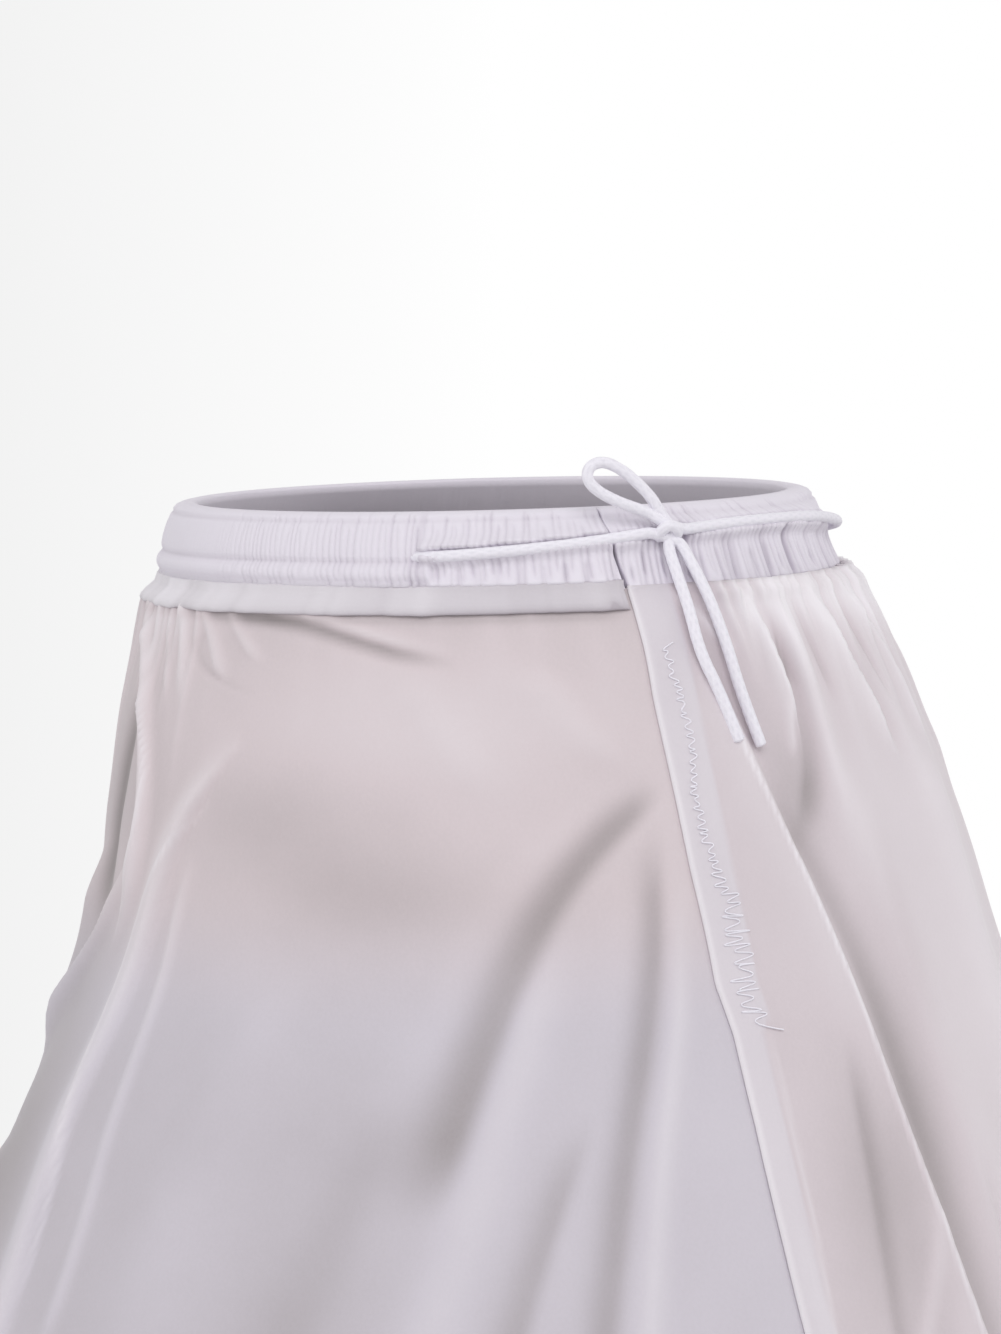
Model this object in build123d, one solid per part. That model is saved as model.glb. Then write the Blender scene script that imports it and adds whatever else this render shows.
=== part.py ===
# Hoop petticoat (crinoline): a flared cloth skirt held out by three sprung hoops, with a
# gathered waistband that is drawn in by an elastic and a tied drawstring.
# Units are millimetres. The origin is the centre of the waist opening, level with the band's
# top edge. +Z is up, the wearer's front is -Y and the wearer's left side, with the placket and
# the bow, is +X.
import os
from math import asin, atan2, copysign, cos, degrees, hypot, pi, radians, sin, sqrt, tan

from build123d import *

# Driving dimensions
# Cloth and seats
cloth = 1.2  # thickness of one layer of cloth, seams and nap included
seat = 0.3  # gap between pieces that lie on each other

# Waistband
waist_half_width = 119.5  # waist opening at the top edge, centre to side
waist_half_depth = 92.5  # waist opening at the top edge, centre to front
band_height = 26.0
band_spread_side = 15.5  # how far the band slopes out at the sides, from top edge to seam
band_spread_front = 12.3  # and at the front and back
gather_pitch = 8.0  # along the band, crest to crest
gather_depth = 0.8  # half of the rise from valley to crest
gather_flank = 0.125  # half a crest's or valley's width, as a share of the pitch
plain_front_start = -150.0  # the band lies almost smooth between these two angles
plain_front_end = -62.0
plain_front_share = 0.25  # part of the gather depth that is left there
band_edge_round = 1.6  # how far the folded top edge draws in
band_gap = 1.5  # opening between the band's two ends at the placket
band_gap_angle = -9.5
band_gap_slant = 12.0  # degrees from upright
band_roll_height = 3.0  # height of the rounded top edge

# Elastic and drawstring
elastic_width = 19.0
elastic_thickness = 1.4
cord_diameter = 3.8
cord_depth = 14.0  # below the band's top edge, where the cord runs in the casing
front_exit_angle = -42.5  # slits where the cord leaves the casing towards the knot
back_exit_angle = 57.5
exit_lead = 7.5  # degrees from a slit's middle to the end of the cord inside
exit_slit_length = 25.0
exit_slit_height = 8.0
exit_slit_bite = 1.0  # how far a slit's cut starts inside the channel
hidden_cord_turns = 16  # bends of the cord inside the casing
knot_turns = 3
knot_turn_pitch = 3.4
knot_core = 2.3

# Skirt: levels below the band's seam, with how far half the width and half the depth have grown
# beyond the seam's and how far the oval has shifted to the back
hip_levels = (
    (19.0, 8.0, 7.2, 3.0),
    (40.0, 13.0, 16.2, 6.0),
    (74.0, 21.0, 26.7, 10.0),
    (124.0, 31.0, 38.2, 14.0),
    (181.0, 49.0, 61.2, 9.0),
    (256.0, 72.0, 91.2, 3.0),
    (324.0, 93.0, 119.2, 1.0),
)
skirt_length = 1000.0
hem_radius = 464.0
hem_turning = 25.0

# Folds and gathers of the skirt
front_folds = 7
front_fold_depth = 6.0
back_folds = 9
back_fold_depth = 6.5
back_gathers = 24
back_gather_depth = 1.4
back_gather_length = 75.0  # how far below the band the fine gathers run out
tier_ripple = 2.5  # depth of the cloth's ripples midway between two hoops
tier_sag = 4.0  # how far the cloth draws in between two hoops
plain_edge = 22.0  # smooth cloth beside each side seam
front_columns = 48  # cloth facets across the front half
back_columns = 60
binding_rows = 3  # cloth facets down the binding
placket_rows = 4  # from the binding to the placket's end
hip_rows = 6  # and from there to the first hoop

# Hoops
hoop_count = 3
first_hoop_depth = 430.0
first_hoop_radius = 264.0
last_hoop_above_hem = 40.0
bone_width = 7.0
bone_thickness = 1.6
bone_gap = 1.0  # between the two ends of a bone, inside its connector
connector_length = 40.0
connector_wall = 0.8
casing_width = 22.0

# Seams and placket
binding_height = 12.0
binding_depth = 3.0
binding_edge_depth = 1.2
placket_depth = 142.0
facing_width = 18.0
underlap_reach = 12.0
binding_start = 16.0  # from the side seam to the binding's end
binding_columns = 36
strip_columns = 6

# Drawstring outside the casing: hand-laid routes, from the slits and from the knot outwards
KNOT_CENTRE = (139.8, -1.0, -8.0)
FRONT_RUN = (
    (85.8, -79.6, -14.0),
    (92.4, -75.5, -14.0),
    (100.6, -72.8, -14.0),
    (109.8, -70.3, -13.9),
    (121.5, -57.7, -13.0),
    (130.6, -41.2, -11.8),
    (136.5, -22.8, -10.2),
    (139.4, -7.2, -8.4),
)
BACK_RUN = (
    (56.8, 94.3, -14.0),
    (64.1, 91.7, -13.8),
    (73.2, 90.4, -13.0),
    (82.8, 89.7, -11.6),
    (96.9, 79.5, -9.2),
    (111.9, 64.3, -7.4),
    (125.5, 44.9, -6.8),
    (134.5, 23.6, -7.0),
    (139.3, 5.2, -7.9),
)
BOW_LOOP = (
    (138.6, -6.2, -2.2),
    (138.4, -11.5, -0.2),
    (137.6, -17.5, 2.2),
    (136.6, -23.6, 5.6),
    (135.8, -27.2, 9.6),
    (135.6, -26.2, 14.0),
    (136.0, -21.0, 15.4),
    (136.9, -15.2, 12.4),
    (138.0, -9.6, 7.4),
    (139.0, -4.6, 1.4),
    (139.2, -2.6, -3.0),
)
FRONT_TAIL = (
    (141.6, -1.6, -13.4),
    (145.0, -1.2, -20.0),
    (150.4, 0.6, -32.0),
    (156.0, 1.6, -47.0),
    (159.8, 6.6, -60.0),
    (162.8, 11.4, -76.0),
)
BACK_TAIL = (
    (142.2, 2.8, -12.8),
    (145.6, 4.8, -19.0),
    (150.6, 8.2, -30.0),
    (155.6, 11.6, -45.6),
    (158.9, 14.4, -61.0),
    (161.9, 19.6, -78.0),
)

# Worked out from the driving dimensions
elastic_start = cloth + seat
cord_centre = elastic_start + elastic_thickness + 1.5 * seat + cord_diameter / 2
pocket_end = cord_centre + cord_diameter / 2 + 2 * seat
band_valley = pocket_end + cloth
band_mean = band_valley + gather_depth
bone_pocket = bone_thickness + 2 * (seat + connector_wall + seat)
channel_half = casing_width / 2 + cloth + seat
bone_pocket_near = seat + seat + connector_wall + seat
hoop_slope = (hem_radius - first_hoop_radius) / (skirt_length - first_hoop_depth)
slope_length = hypot(1.0, hoop_slope)
hoop_step = (skirt_length - last_hoop_above_hem - first_hoop_depth) / (hoop_count - 1)
hoop_depths = [first_hoop_depth + hoop_step * i for i in range(hoop_count)]
hoop_radii = [first_hoop_radius + hoop_step * i * hoop_slope for i in range(hoop_count)]
hoop_top = first_hoop_depth - channel_half
hoop_top_radius = first_hoop_radius - channel_half * hoop_slope
skirt_top = band_height + seat
binding_end = skirt_top + binding_height
placket_end = band_height + placket_depth


# Waistband geometry: an oval that widens from the top edge down
def band_axes(depth, out):
    """Half width and half depth of the band's oval, out mm outside its inner face."""
    share = depth / band_height
    return (
        waist_half_width + band_spread_side * share + out,
        waist_half_depth + band_spread_front * share + out,
    )


def band_point(angle, depth, out):
    """A point out mm outside the band's inner face, at an angle in degrees."""
    half_width, half_depth = band_axes(depth, 0.0)
    t = radians(angle)
    nx, ny = cos(t) / half_width, sin(t) / half_depth
    size = hypot(nx, ny)
    x = half_width * cos(t) + out * nx / size
    y = half_depth * sin(t) + out * ny / size
    return x, y, -depth


def oval_ring(inner_out, outer_out, top, bottom):
    """A wall that follows the band between two offsets and two depths."""

    def plug(out):
        sections = []
        for depth in (bottom, top):
            half_width, half_depth = band_axes(depth, out)
            sections.append(Wire.make_ellipse(half_width, half_depth, Plane((0, 0, -depth))))
        return Solid.make_loft(sections, ruled=True)

    return plug(outer_out) - plug(inner_out)


def gather_rows():
    """Angle and gather offset of points right round the band, from its gap."""
    half_width, half_depth = band_axes(band_height / 2, band_mean)
    perimeter = pi * (3 * (half_width + half_depth)
                      - ((3 * half_width + half_depth) * (half_width + 3 * half_depth)) ** 0.5)
    ribs = round(perimeter / gather_pitch)
    rows = []
    for rib in range(ribs):
        for middle, rise in ((0.0, gather_depth), (0.5, -gather_depth)):
            for flank in (-gather_flank, gather_flank):
                angle = band_gap_angle + 360.0 * (rib + middle + flank) / ribs
                wrapped = (angle + 180.0) % 360.0 - 180.0
                plain = plain_front_start < wrapped < plain_front_end
                rows.append((angle, rise * (plain_front_share if plain else 1.0)))
    return rows


def waistband_casing():
    """Cloth tube round the waist, gathered outside, with a channel for elastic and cord."""
    rows = gather_rows()
    sections = []
    for depth, draw_in in ((band_height, 0.0), (band_roll_height, 0.0), (0.0, band_edge_round)):
        points = [band_point(angle, depth, band_mean - draw_in + rise) for angle, rise in rows]
        sections.append(Wire.make_polygon(points))
    casing = Solid.make_loft(sections, ruled=True)
    waist = []
    for depth in (band_height + cloth, -cloth):
        half_width, half_depth = band_axes(depth, 0.0)
        waist.append(Wire.make_ellipse(half_width, half_depth, Plane((0, 0, -depth))))
    casing -= Solid.make_loft(waist, ruled=True)
    casing -= oval_ring(cloth, pocket_end, cloth, band_height - cloth)
    slit_reach = 3 * (cloth + 2 * gather_depth)
    slit = Box(slit_reach, exit_slit_length, exit_slit_height)
    slit_out = pocket_end - exit_slit_bite + slit_reach / 2
    for angle in (front_exit_angle, back_exit_angle):
        casing -= Location(band_point(angle, cord_depth, slit_out), (0, 0, facing_out(angle))) * slit
    gap = Box(3 * band_mean, band_gap, 2 * band_height)
    place = Location(band_point(band_gap_angle, band_height / 2, band_mean / 2),
                     (0, 0, facing_out(band_gap_angle)))
    return casing - place * Rot(band_gap_slant, 0, 0) * gap


def facing_out(angle):
    """Heading in degrees of the band's outward normal at an angle."""
    half_width, half_depth = band_axes(cord_depth, 0.0)
    return degrees(atan2(sin(radians(angle)) / half_depth, cos(radians(angle)) / half_width))


def waist_elastic():
    """Flat elastic inside the casing, its two ends meeting at the placket."""
    middle = band_height / 2
    ring = oval_ring(elastic_start, elastic_start + elastic_thickness,
                     middle - elastic_width / 2, middle + elastic_width / 2)
    gap = Box(3 * elastic_thickness, band_gap, 2 * elastic_width)
    place = Location(band_point(band_gap_angle, middle, elastic_start + elastic_thickness / 2),
                     (0, 0, facing_out(band_gap_angle)))
    return ring - place * gap


# Cords: straight runs joined by tangent arcs
def cord_tube(name, points):
    """A round cord along a route, with each arc as large as its two runs allow."""
    points = [Vector(*point) for point in points]
    radii = []
    for before, corner, after in zip(points, points[1:], points[2:]):
        first, second = corner - before, after - corner
        half_turn = radians(first.get_angle(second)) / 2
        radii.append(0.45 * min(first.length, second.length) / tan(half_turn))
    line = FilletPolyline(*points, radius=radii)
    tightest = min(radii)
    print(f"{name}: {line.length:.0f} mm long, tightest arc {tightest:.1f} mm")
    section = Wire.make_circle(cord_diameter / 2, Plane(line @ 0, z_dir=line % 0))
    return sweep(Face(section), path=line)


def drawstring_in_casing():
    """The stretch of drawstring that the casing holds, from slit to slit round the back."""
    start, end = front_exit_angle - exit_lead, back_exit_angle + exit_lead - 360.0
    step = (end - start) / hidden_cord_turns
    outward = 1 / cos(radians(step / 2))
    route = [band_point(start, cord_depth, cord_centre)]
    for i in range(hidden_cord_turns):
        x, y, z = band_point(start + step * (i + 0.5), cord_depth, cord_centre)
        route.append((x * outward, y * outward, z))
    route.append(band_point(end, cord_depth, cord_centre))
    return cord_tube("drawstring_in_casing", route)


def drawstring_knot():
    """The tied knot: turns of the cord drawn tight beside each other along the band."""
    half = knot_turn_pitch / 2
    crest = knot_core + cord_diameter / 2
    valley = knot_core + sqrt((cord_diameter / 2) ** 2 - half**2)
    end = knot_turns * half + cord_diameter / 2 - half
    stops = [(knot_core, -end)]
    stops += [(valley, half * (2 * i - knot_turns)) for i in range(1, knot_turns)]
    stops += [(knot_core, end)]
    edges = [Edge.make_line((0, 0, end), (0, 0, -end))]
    edges += [Edge.make_line((0, 0, z), (knot_core, 0, z)) for z in (-end, end)]
    for i, (near, far) in enumerate(zip(stops, stops[1:])):
        middle = knot_turn_pitch * (i - (knot_turns - 1) / 2)
        corners = [(r, 0, z) for r, z in (near, (crest, middle), far)]
        edges.append(Edge.make_three_point_arc(*corners))
    profile = Face(Wire(edges))
    return Location(KNOT_CENTRE, (90, 0, 0)) * Solid.revolve(profile, 360.0, Axis.Z)


# Skirt outline: an oval at the hips that is round at the first hoop and stays round below it
def skirt_axes(depth):
    """Half width, half depth and shift to the back of the skirt above the first hoop."""
    width, back_to_front = band_axes(band_height, band_valley)
    levels = [(band_height, width, back_to_front, 0.0)]
    levels += [(band_height + down, width + wider, back_to_front + deeper, back)
               for down, wider, deeper, back in hip_levels]
    levels += [(hoop_top, hoop_top_radius, hoop_top_radius, 0.0)]
    index = 0
    while index < len(levels) - 2 and depth > levels[index + 1][0]:
        index += 1
    low, high = levels[index], levels[index + 1]
    before = levels[max(index - 1, 0)]
    after = levels[min(index + 2, len(levels) - 1)]
    span = high[0] - low[0]
    s = (depth - low[0]) / span
    values = []
    for k in (1, 2, 3):
        start_slope = (high[k] - before[k]) / (high[0] - before[0]) * span
        end_slope = (after[k] - low[k]) / (after[0] - low[0]) * span
        values.append((2 * s**3 - 3 * s**2 + 1) * low[k] + (s**3 - 2 * s**2 + s) * start_slope
                      + (3 * s**2 - 2 * s**3) * high[k] + (s**3 - s**2) * end_slope)
    return tuple(values)


def smooth_step(value):
    """Rises smoothly from 0 to 1."""
    value = min(max(value, 0.0), 1.0)
    return value * value * (3 - 2 * value)


def fold_offset(side, u, depth):
    """How far folds and gathers lift the cloth at a share u of one half of the skirt."""
    front = side < 0
    folds = front_folds if front else back_folds
    fold_depth = front_fold_depth if front else back_fold_depth
    half_width, half_depth, shift = skirt_axes(depth)
    edge = plain_edge / (pi * (half_width + half_depth) / 2)
    clear = smooth_step((min(u, 1 - u) - edge) * folds)
    rise = sin(pi * (depth - band_height) / (hoop_top - band_height)) ** 2
    offset = fold_depth * rise * sin(2 * pi * folds * u + 0.6 * sin(4 * pi * u + 1.0))
    if not front:
        run_out = max(0.0, 1.0 - (depth - band_height) / back_gather_length)
        offset += back_gather_depth * run_out * cos(2 * pi * back_gathers * u)
    return offset * clear


def tier_offset(side, u):
    """Ripples of the cloth midway between two hoops."""
    folds = front_folds if side < 0 else back_folds
    return tier_ripple * smooth_step(min(u, 1 - u) * folds) * sin(2 * pi * folds * u + 1.0)


def half_outline(side, depth, axes, offset_at, out, shares):
    """Points along one half of an oval, out mm outside it, with a fold offset at each share."""
    half_width, half_depth, shift = axes
    step = 1e-4
    start = asin((side * seat / 2 - shift) / half_depth)
    end = side * pi - start

    def lifted(u):
        t = start + (end - start) * u
        nx, ny = cos(t) / half_width, sin(t) / half_depth
        size = hypot(nx, ny)
        offset = offset_at(u)
        return half_width * cos(t) + offset * nx / size, shift + half_depth * sin(t) + offset * ny / size

    points = []
    for u in shares:
        x, y = lifted(u)
        if u in (0.0, 1.0):
            points.append((x + copysign(1.0, x) * out, side * seat / 2, -depth))
            continue
        (xa, ya), (xb, yb) = lifted(u - step), lifted(u + step)
        size = hypot(xb - xa, yb - ya)
        points.append((x + side * (yb - ya) / size * out, y - side * (xb - xa) / size * out, -depth))
    return points


def sewn_sheet(outer_rows, inner_rows):
    """A thin faceted sheet between an outer and an inner grid of points, sewn shut at its rim."""

    def skin(rows):
        return Shell.make_loft([Wire.make_polygon(row, close=False) for row in rows], ruled=True).faces()

    faces = skin(outer_rows) + skin(inner_rows)
    for end in (0, -1):
        faces += skin([outer_rows[end], inner_rows[end]])
        faces += skin([[row[end] for row in outer_rows], [row[end] for row in inner_rows]])
    return Solid(Shell(faces))


def even_steps(start, end, steps):
    """Evenly spaced values, both ends included."""
    return [start + (end - start) * i / steps for i in range(steps + 1)]


def binding_depths():
    """Depths of the cloth sections behind the waist binding."""
    return even_steps(skirt_top, binding_end, binding_rows)


def placket_depths():
    """Depths of the cloth sections along the placket."""
    return even_steps(binding_end, placket_end, placket_rows)


def skirt_panel(side):
    """Front (-1) or back (1) half of the skirt, from the band to the hem."""
    shares = even_steps(0.0, 1.0, front_columns if side < 0 else back_columns)
    outer, inner = [], []

    def add(depth, axes, offset_at):
        outer.append(half_outline(side, depth, axes, offset_at, 0.0, shares))
        inner.append(half_outline(side, depth, axes, offset_at, -cloth, shares))

    hip_depths = even_steps(placket_end, hoop_top, hip_rows)[1:]
    for depth in binding_depths() + placket_depths()[1:] + hip_depths:
        add(depth, skirt_axes(depth), lambda u, depth=depth: fold_offset(side, u, depth))
    for i, (depth, radius) in enumerate(zip(hoop_depths, hoop_radii)):
        low_radius = radius + channel_half * hoop_slope
        low_depth = depth + channel_half
        if i > 0:
            high_radius = radius - channel_half * hoop_slope
            middle = (last_radius + high_radius) / 2 - tier_sag
            add((last_depth + depth - channel_half) / 2, (middle, middle, 0.0),
                lambda u: tier_offset(side, u))
            add(depth - channel_half, (high_radius, high_radius, 0.0), lambda u: 0.0)
        add(low_depth, (low_radius, low_radius, 0.0), lambda u: 0.0)
        last_depth, last_radius = low_depth, low_radius
    add(skirt_length, (hem_radius, hem_radius, 0.0), lambda u: 0.0)
    return sewn_sheet(outer, inner)


# Strips sewn to the skirt
def waist_binding():
    """Rounded strip that covers the front panel's top seam, below the band."""
    outer, inner = [], []
    for i, depth in enumerate(binding_depths()):
        axes = skirt_axes(depth)
        start = binding_start / (pi * (axes[0] + axes[1]) / 2)
        shares = even_steps(start, 1.0, binding_columns)
        swell = binding_edge_depth if i in (0, binding_rows) else binding_depth
        for rows, out in ((outer, seat + swell), (inner, seat)):
            rows.append(half_outline(-1, depth, axes, lambda u: fold_offset(-1, u, depth), out, shares))
    return sewn_sheet(outer, inner)


def placket_strip(from_mm, to_mm, layer):
    """Upright strip inside the left side seam, between two distances along the cloth."""
    outer, inner = [], []
    for depth in binding_depths() + placket_depths()[1:]:
        half_width, half_depth, shift = skirt_axes(depth)
        seam = asin(-shift / half_depth)
        for rows, out in ((outer, -layer * (cloth + seat)), (inner, -layer * (cloth + seat) - cloth)):
            points = []
            for along in even_steps(from_mm, to_mm, strip_columns):
                t = seam + along / half_depth
                nx, ny = cos(t) / half_width, sin(t) / half_depth
                size = hypot(nx, ny)
                points.append((half_width * cos(t) + out * nx / size,
                               shift + half_depth * sin(t) + out * ny / size, -depth))
            rows.append(points)
    return sewn_sheet(outer, inner)


# Rings: profiles turned about the upright axis, laid along the slope of the cloth
def sloped_profile(depth, radius, points):
    """Closed profile from points given as (down the slope, in from the cloth's inner face)."""
    corners = []
    for down, inward in points:
        r = radius - cloth + (down * hoop_slope - inward) / slope_length
        z = -depth - (down + inward * hoop_slope) / slope_length
        corners.append((r, 0.0, z))
    return Wire.make_polygon(corners)


def turned(face, start, angle):
    """A face turned about the upright axis from a heading in degrees."""
    return Rot(0, 0, start) * Solid.revolve(face, angle, Axis.Z)


def hoop_bone(depth, radius):
    """Flat sprung strip bent into a ring, its ends a small gap apart at the centre back."""
    high, low = bone_pocket_near, bone_pocket_near + bone_thickness
    half = bone_width / 2
    profile = sloped_profile(depth, radius, ((-half, high), (half, high), (half, low), (-half, low)))
    gap_angle = degrees(bone_gap / radius)
    return turned(Face(profile), 90.0 + gap_angle / 2, 360.0 - gap_angle)


def hoop_connector(depth, radius):
    """Flat sleeve that holds the two ends of a bone."""

    def outline(grow):
        half, near = bone_width / 2 + grow, bone_pocket_near - grow
        far = bone_pocket_near + bone_thickness + grow
        return sloped_profile(depth, radius, ((-half, near), (half, near), (half, far), (-half, far)))

    angle = degrees(connector_length / radius)
    sleeve = Face(outline(seat + connector_wall), [outline(seat)])
    return turned(sleeve, 90.0 - angle / 2, angle)


def hoop_casing(depth, radius):
    """Tape stitched inside the skirt along both edges, raised over the bone."""
    flat, edge = bone_width / 2 + seat + connector_wall + seat, casing_width / 2
    near, far = seat, seat + bone_pocket
    lean = cloth * (edge - flat) / bone_pocket
    profile = sloped_profile(depth, radius, (
        (-edge, near), (-flat, far), (flat, far), (edge, near),
        (edge, near + cloth), (flat + lean, far + cloth), (-flat - lean, far + cloth), (-edge, near + cloth),
    ))
    return turned(Face(profile), -90.0, 360.0)


def hem_facing():
    """The turned-up hem: a strip inside the skirt with its fold under the cloth's edge."""
    top = skirt_length - hem_turning
    inside = seat + cloth
    corners = (
        (hem_radius, skirt_length + seat),
        (hem_radius, skirt_length + seat + cloth),
        (hem_radius - 2 * cloth - seat, skirt_length + seat + cloth),
        (hem_radius - hem_turning * hoop_slope - cloth - inside, top),
        (hem_radius - hem_turning * hoop_slope - inside, top),
        (hem_radius - inside, skirt_length + seat),
    )
    return turned(Face(Wire.make_polygon([(r, 0.0, -depth) for r, depth in corners])), -90.0, 360.0)


PARTS = {
    "waistband_casing": waistband_casing(),
    "waist_elastic": waist_elastic(),
    "drawstring_in_casing": drawstring_in_casing(),
    "drawstring_front_run": cord_tube("drawstring_front_run", FRONT_RUN),
    "drawstring_back_run": cord_tube("drawstring_back_run", BACK_RUN),
    "drawstring_bow_loop": cord_tube("drawstring_bow_loop", BOW_LOOP),
    "drawstring_front_tail": cord_tube("drawstring_front_tail", FRONT_TAIL),
    "drawstring_back_tail": cord_tube("drawstring_back_tail", BACK_TAIL),
    "drawstring_knot": drawstring_knot(),
    "front_panel": skirt_panel(-1),
    "back_panel": skirt_panel(1),
    "waist_binding": waist_binding(),
    "placket_facing": placket_strip(-facing_width, -seat / 2, 1),
    "placket_underlap": placket_strip(-underlap_reach, facing_width, 2),
    "hem_facing": hem_facing(),
}
for number, (depth, radius) in enumerate(zip(hoop_depths, hoop_radii), start=1):
    PARTS[f"hoop_bone_{number}"] = hoop_bone(depth, radius)
    PARTS[f"hoop_connector_{number}"] = hoop_connector(depth, radius)
    PARTS[f"hoop_casing_{number}"] = hoop_casing(depth, radius)

os.makedirs("parts", exist_ok=True)
for name, shape in PARTS.items():
    export_step(shape, f"parts/{name}.step")
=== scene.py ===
# %% [markdown]
# A hoop petticoat: thin white cloth over three sprung hoops, with a gathered waistband that an
# elastic and a tied drawstring draw in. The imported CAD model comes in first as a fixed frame.
# Every soft piece is then made in Blender around it, in metres, and rides on its one body.

# %% Load the frame
from math import cos, pi, radians, sin

import bmesh
import bpy
import numpy as np
from mathutils import Matrix, Vector


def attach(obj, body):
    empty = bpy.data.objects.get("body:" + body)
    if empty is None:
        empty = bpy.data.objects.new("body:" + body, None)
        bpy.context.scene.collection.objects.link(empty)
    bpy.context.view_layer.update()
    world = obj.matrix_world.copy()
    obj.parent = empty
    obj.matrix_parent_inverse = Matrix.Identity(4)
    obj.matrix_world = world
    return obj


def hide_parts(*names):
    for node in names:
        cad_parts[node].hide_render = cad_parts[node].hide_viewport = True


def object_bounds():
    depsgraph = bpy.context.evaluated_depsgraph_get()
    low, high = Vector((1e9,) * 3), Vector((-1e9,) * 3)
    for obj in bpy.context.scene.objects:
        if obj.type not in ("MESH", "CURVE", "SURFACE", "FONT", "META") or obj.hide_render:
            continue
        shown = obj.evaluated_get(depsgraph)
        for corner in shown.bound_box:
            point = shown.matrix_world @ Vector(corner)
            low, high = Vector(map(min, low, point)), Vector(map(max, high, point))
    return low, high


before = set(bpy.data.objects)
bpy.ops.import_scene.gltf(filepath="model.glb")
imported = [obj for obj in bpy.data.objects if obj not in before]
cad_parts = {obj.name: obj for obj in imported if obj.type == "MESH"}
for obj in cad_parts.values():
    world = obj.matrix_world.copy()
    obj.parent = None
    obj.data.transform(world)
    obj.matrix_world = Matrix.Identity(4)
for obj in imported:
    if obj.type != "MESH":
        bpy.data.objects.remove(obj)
cad_box = [list(corner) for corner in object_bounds()]
MM = 0.001
print("CAD box", cad_box)

# %% [markdown]
# The camera stands well back with a long lens, to the left of the wearer's front and a little
# above the waist. A target point and a heading place it, and a small roll tilts the picture.

# %% Camera
CAMERA_AZIMUTH, CAMERA_ELEVATION, CAMERA_ROLL = radians(66), radians(4), radians(2)
CAMERA_TARGET = Vector((0.0040, -0.0011, -0.0589))
CAMERA_DISTANCE = 2.5
CAMERA_LENS = 264.4

heading = Vector((
    cos(CAMERA_ELEVATION) * sin(CAMERA_AZIMUTH),
    -cos(CAMERA_ELEVATION) * cos(CAMERA_AZIMUTH),
    sin(CAMERA_ELEVATION),
))
level = Vector((cos(CAMERA_AZIMUTH), sin(CAMERA_AZIMUTH), 0.0))
upright = heading.cross(level)
picture_right = level * cos(CAMERA_ROLL) - upright * sin(CAMERA_ROLL)
picture_up = upright * cos(CAMERA_ROLL) + level * sin(CAMERA_ROLL)

scene = bpy.context.scene
scene.view_settings.view_transform = "Standard"
lens = bpy.data.cameras.new("camera")
lens.sensor_fit, lens.sensor_width, lens.lens = "HORIZONTAL", 36.0, CAMERA_LENS
camera = bpy.data.objects.new("camera", lens)
turn = Matrix((picture_right, picture_up, heading)).transposed().to_4x4()
camera.matrix_world = Matrix.Translation(CAMERA_TARGET + CAMERA_DISTANCE * heading) @ turn
scene.collection.objects.link(camera)
scene.camera = camera
print("camera at", [round(value, 3) for value in camera.location])

# %% [markdown]
# Node maths reads best as sums. This small class wraps one output of a node, so that a plus or
# a times between two of them adds the Math node. One function adds every other kind of node:
# its settings are set first, and then the values or links of its sockets.


# %% Shader sums
def set_inputs(tree, node, inputs):
    """Sets or links the sockets of a node."""
    for name, value in inputs.items():
        if isinstance(value, Link):
            tree.links.new(value.socket, node.inputs[name])
        else:
            node.inputs[name].default_value = value


def add_node(tree, kind, inputs=None, output=0, ramp=None, **settings):
    """One node with its settings, then its sockets, as a link to one of its outputs."""
    node = tree.nodes.new(kind)
    for name, value in settings.items():
        setattr(node, name, value)
    if ramp:
        stops = node.color_ramp.elements
        while len(stops) < len(ramp):
            stops.new(1.0)
        for stop, (place, color) in zip(stops, ramp):
            stop.position, stop.color = place, color
    set_inputs(tree, node, inputs or {})
    return Link(tree, node.outputs[output]) if node.outputs else None


class Link:
    """One output of a node, on which sums can be written."""

    def __init__(self, tree, socket):
        self.tree, self.socket = tree, socket

    def other(self, output):
        """Another output of the same node."""
        return Link(self.tree, self.socket.node.outputs[output])

    def maths(self, operation, *values, use_clamp=False):
        inputs = dict(enumerate(values))
        return add_node(self.tree, "ShaderNodeMath", inputs, operation=operation, use_clamp=use_clamp)

    def __add__(self, other):
        return self.maths("ADD", self, other)

    def __mul__(self, other):
        return self.maths("MULTIPLY", self, other)

    def __sub__(self, other):
        return self.maths("SUBTRACT", self, other)

    def __rsub__(self, other):
        return self.maths("SUBTRACT", other, self)

    __radd__, __rmul__ = __add__, __mul__

    def sine(self):
        return self.maths("SINE", self)

    def clamped(self):
        return self.maths("ADD", self, 0.0, use_clamp=True)

    def stretched(self, low, high):
        """0 below low, 1 above high, and even between them."""
        return self.maths("MULTIPLY_ADD", self, 1 / (high - low), -low / (high - low), use_clamp=True)


def mixed(share, first, second):
    """A colour between two, by a share from 0 to 1."""
    inputs = {0: share, 6: first, 7: second}
    return add_node(share.tree, "ShaderNodeMix", inputs, output=2, data_type="RGBA")


def attribute(tree, name):
    """A number that the piece stores at each of its points."""
    return add_node(tree, "ShaderNodeAttribute", output="Fac", attribute_name=name)


def noise(tree, scale, detail, stretch=None):
    """Cloudy noise over the piece's own object coordinates."""
    place = add_node(tree, "ShaderNodeTexCoord", output="Object")
    if stretch:
        place = add_node(tree, "ShaderNodeMapping", {"Vector": place, "Scale": stretch})
    return add_node(tree, "ShaderNodeTexNoise", {"Vector": place, "Scale": scale, "Detail": detail})


def bumped(height, strength, distance):
    """The surface's direction over small bumps of the height, distance in mm."""
    inputs = {"Strength": strength, "Distance": distance * MM, "Height": height}
    return add_node(height.tree, "ShaderNodeBump", inputs)


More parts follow.
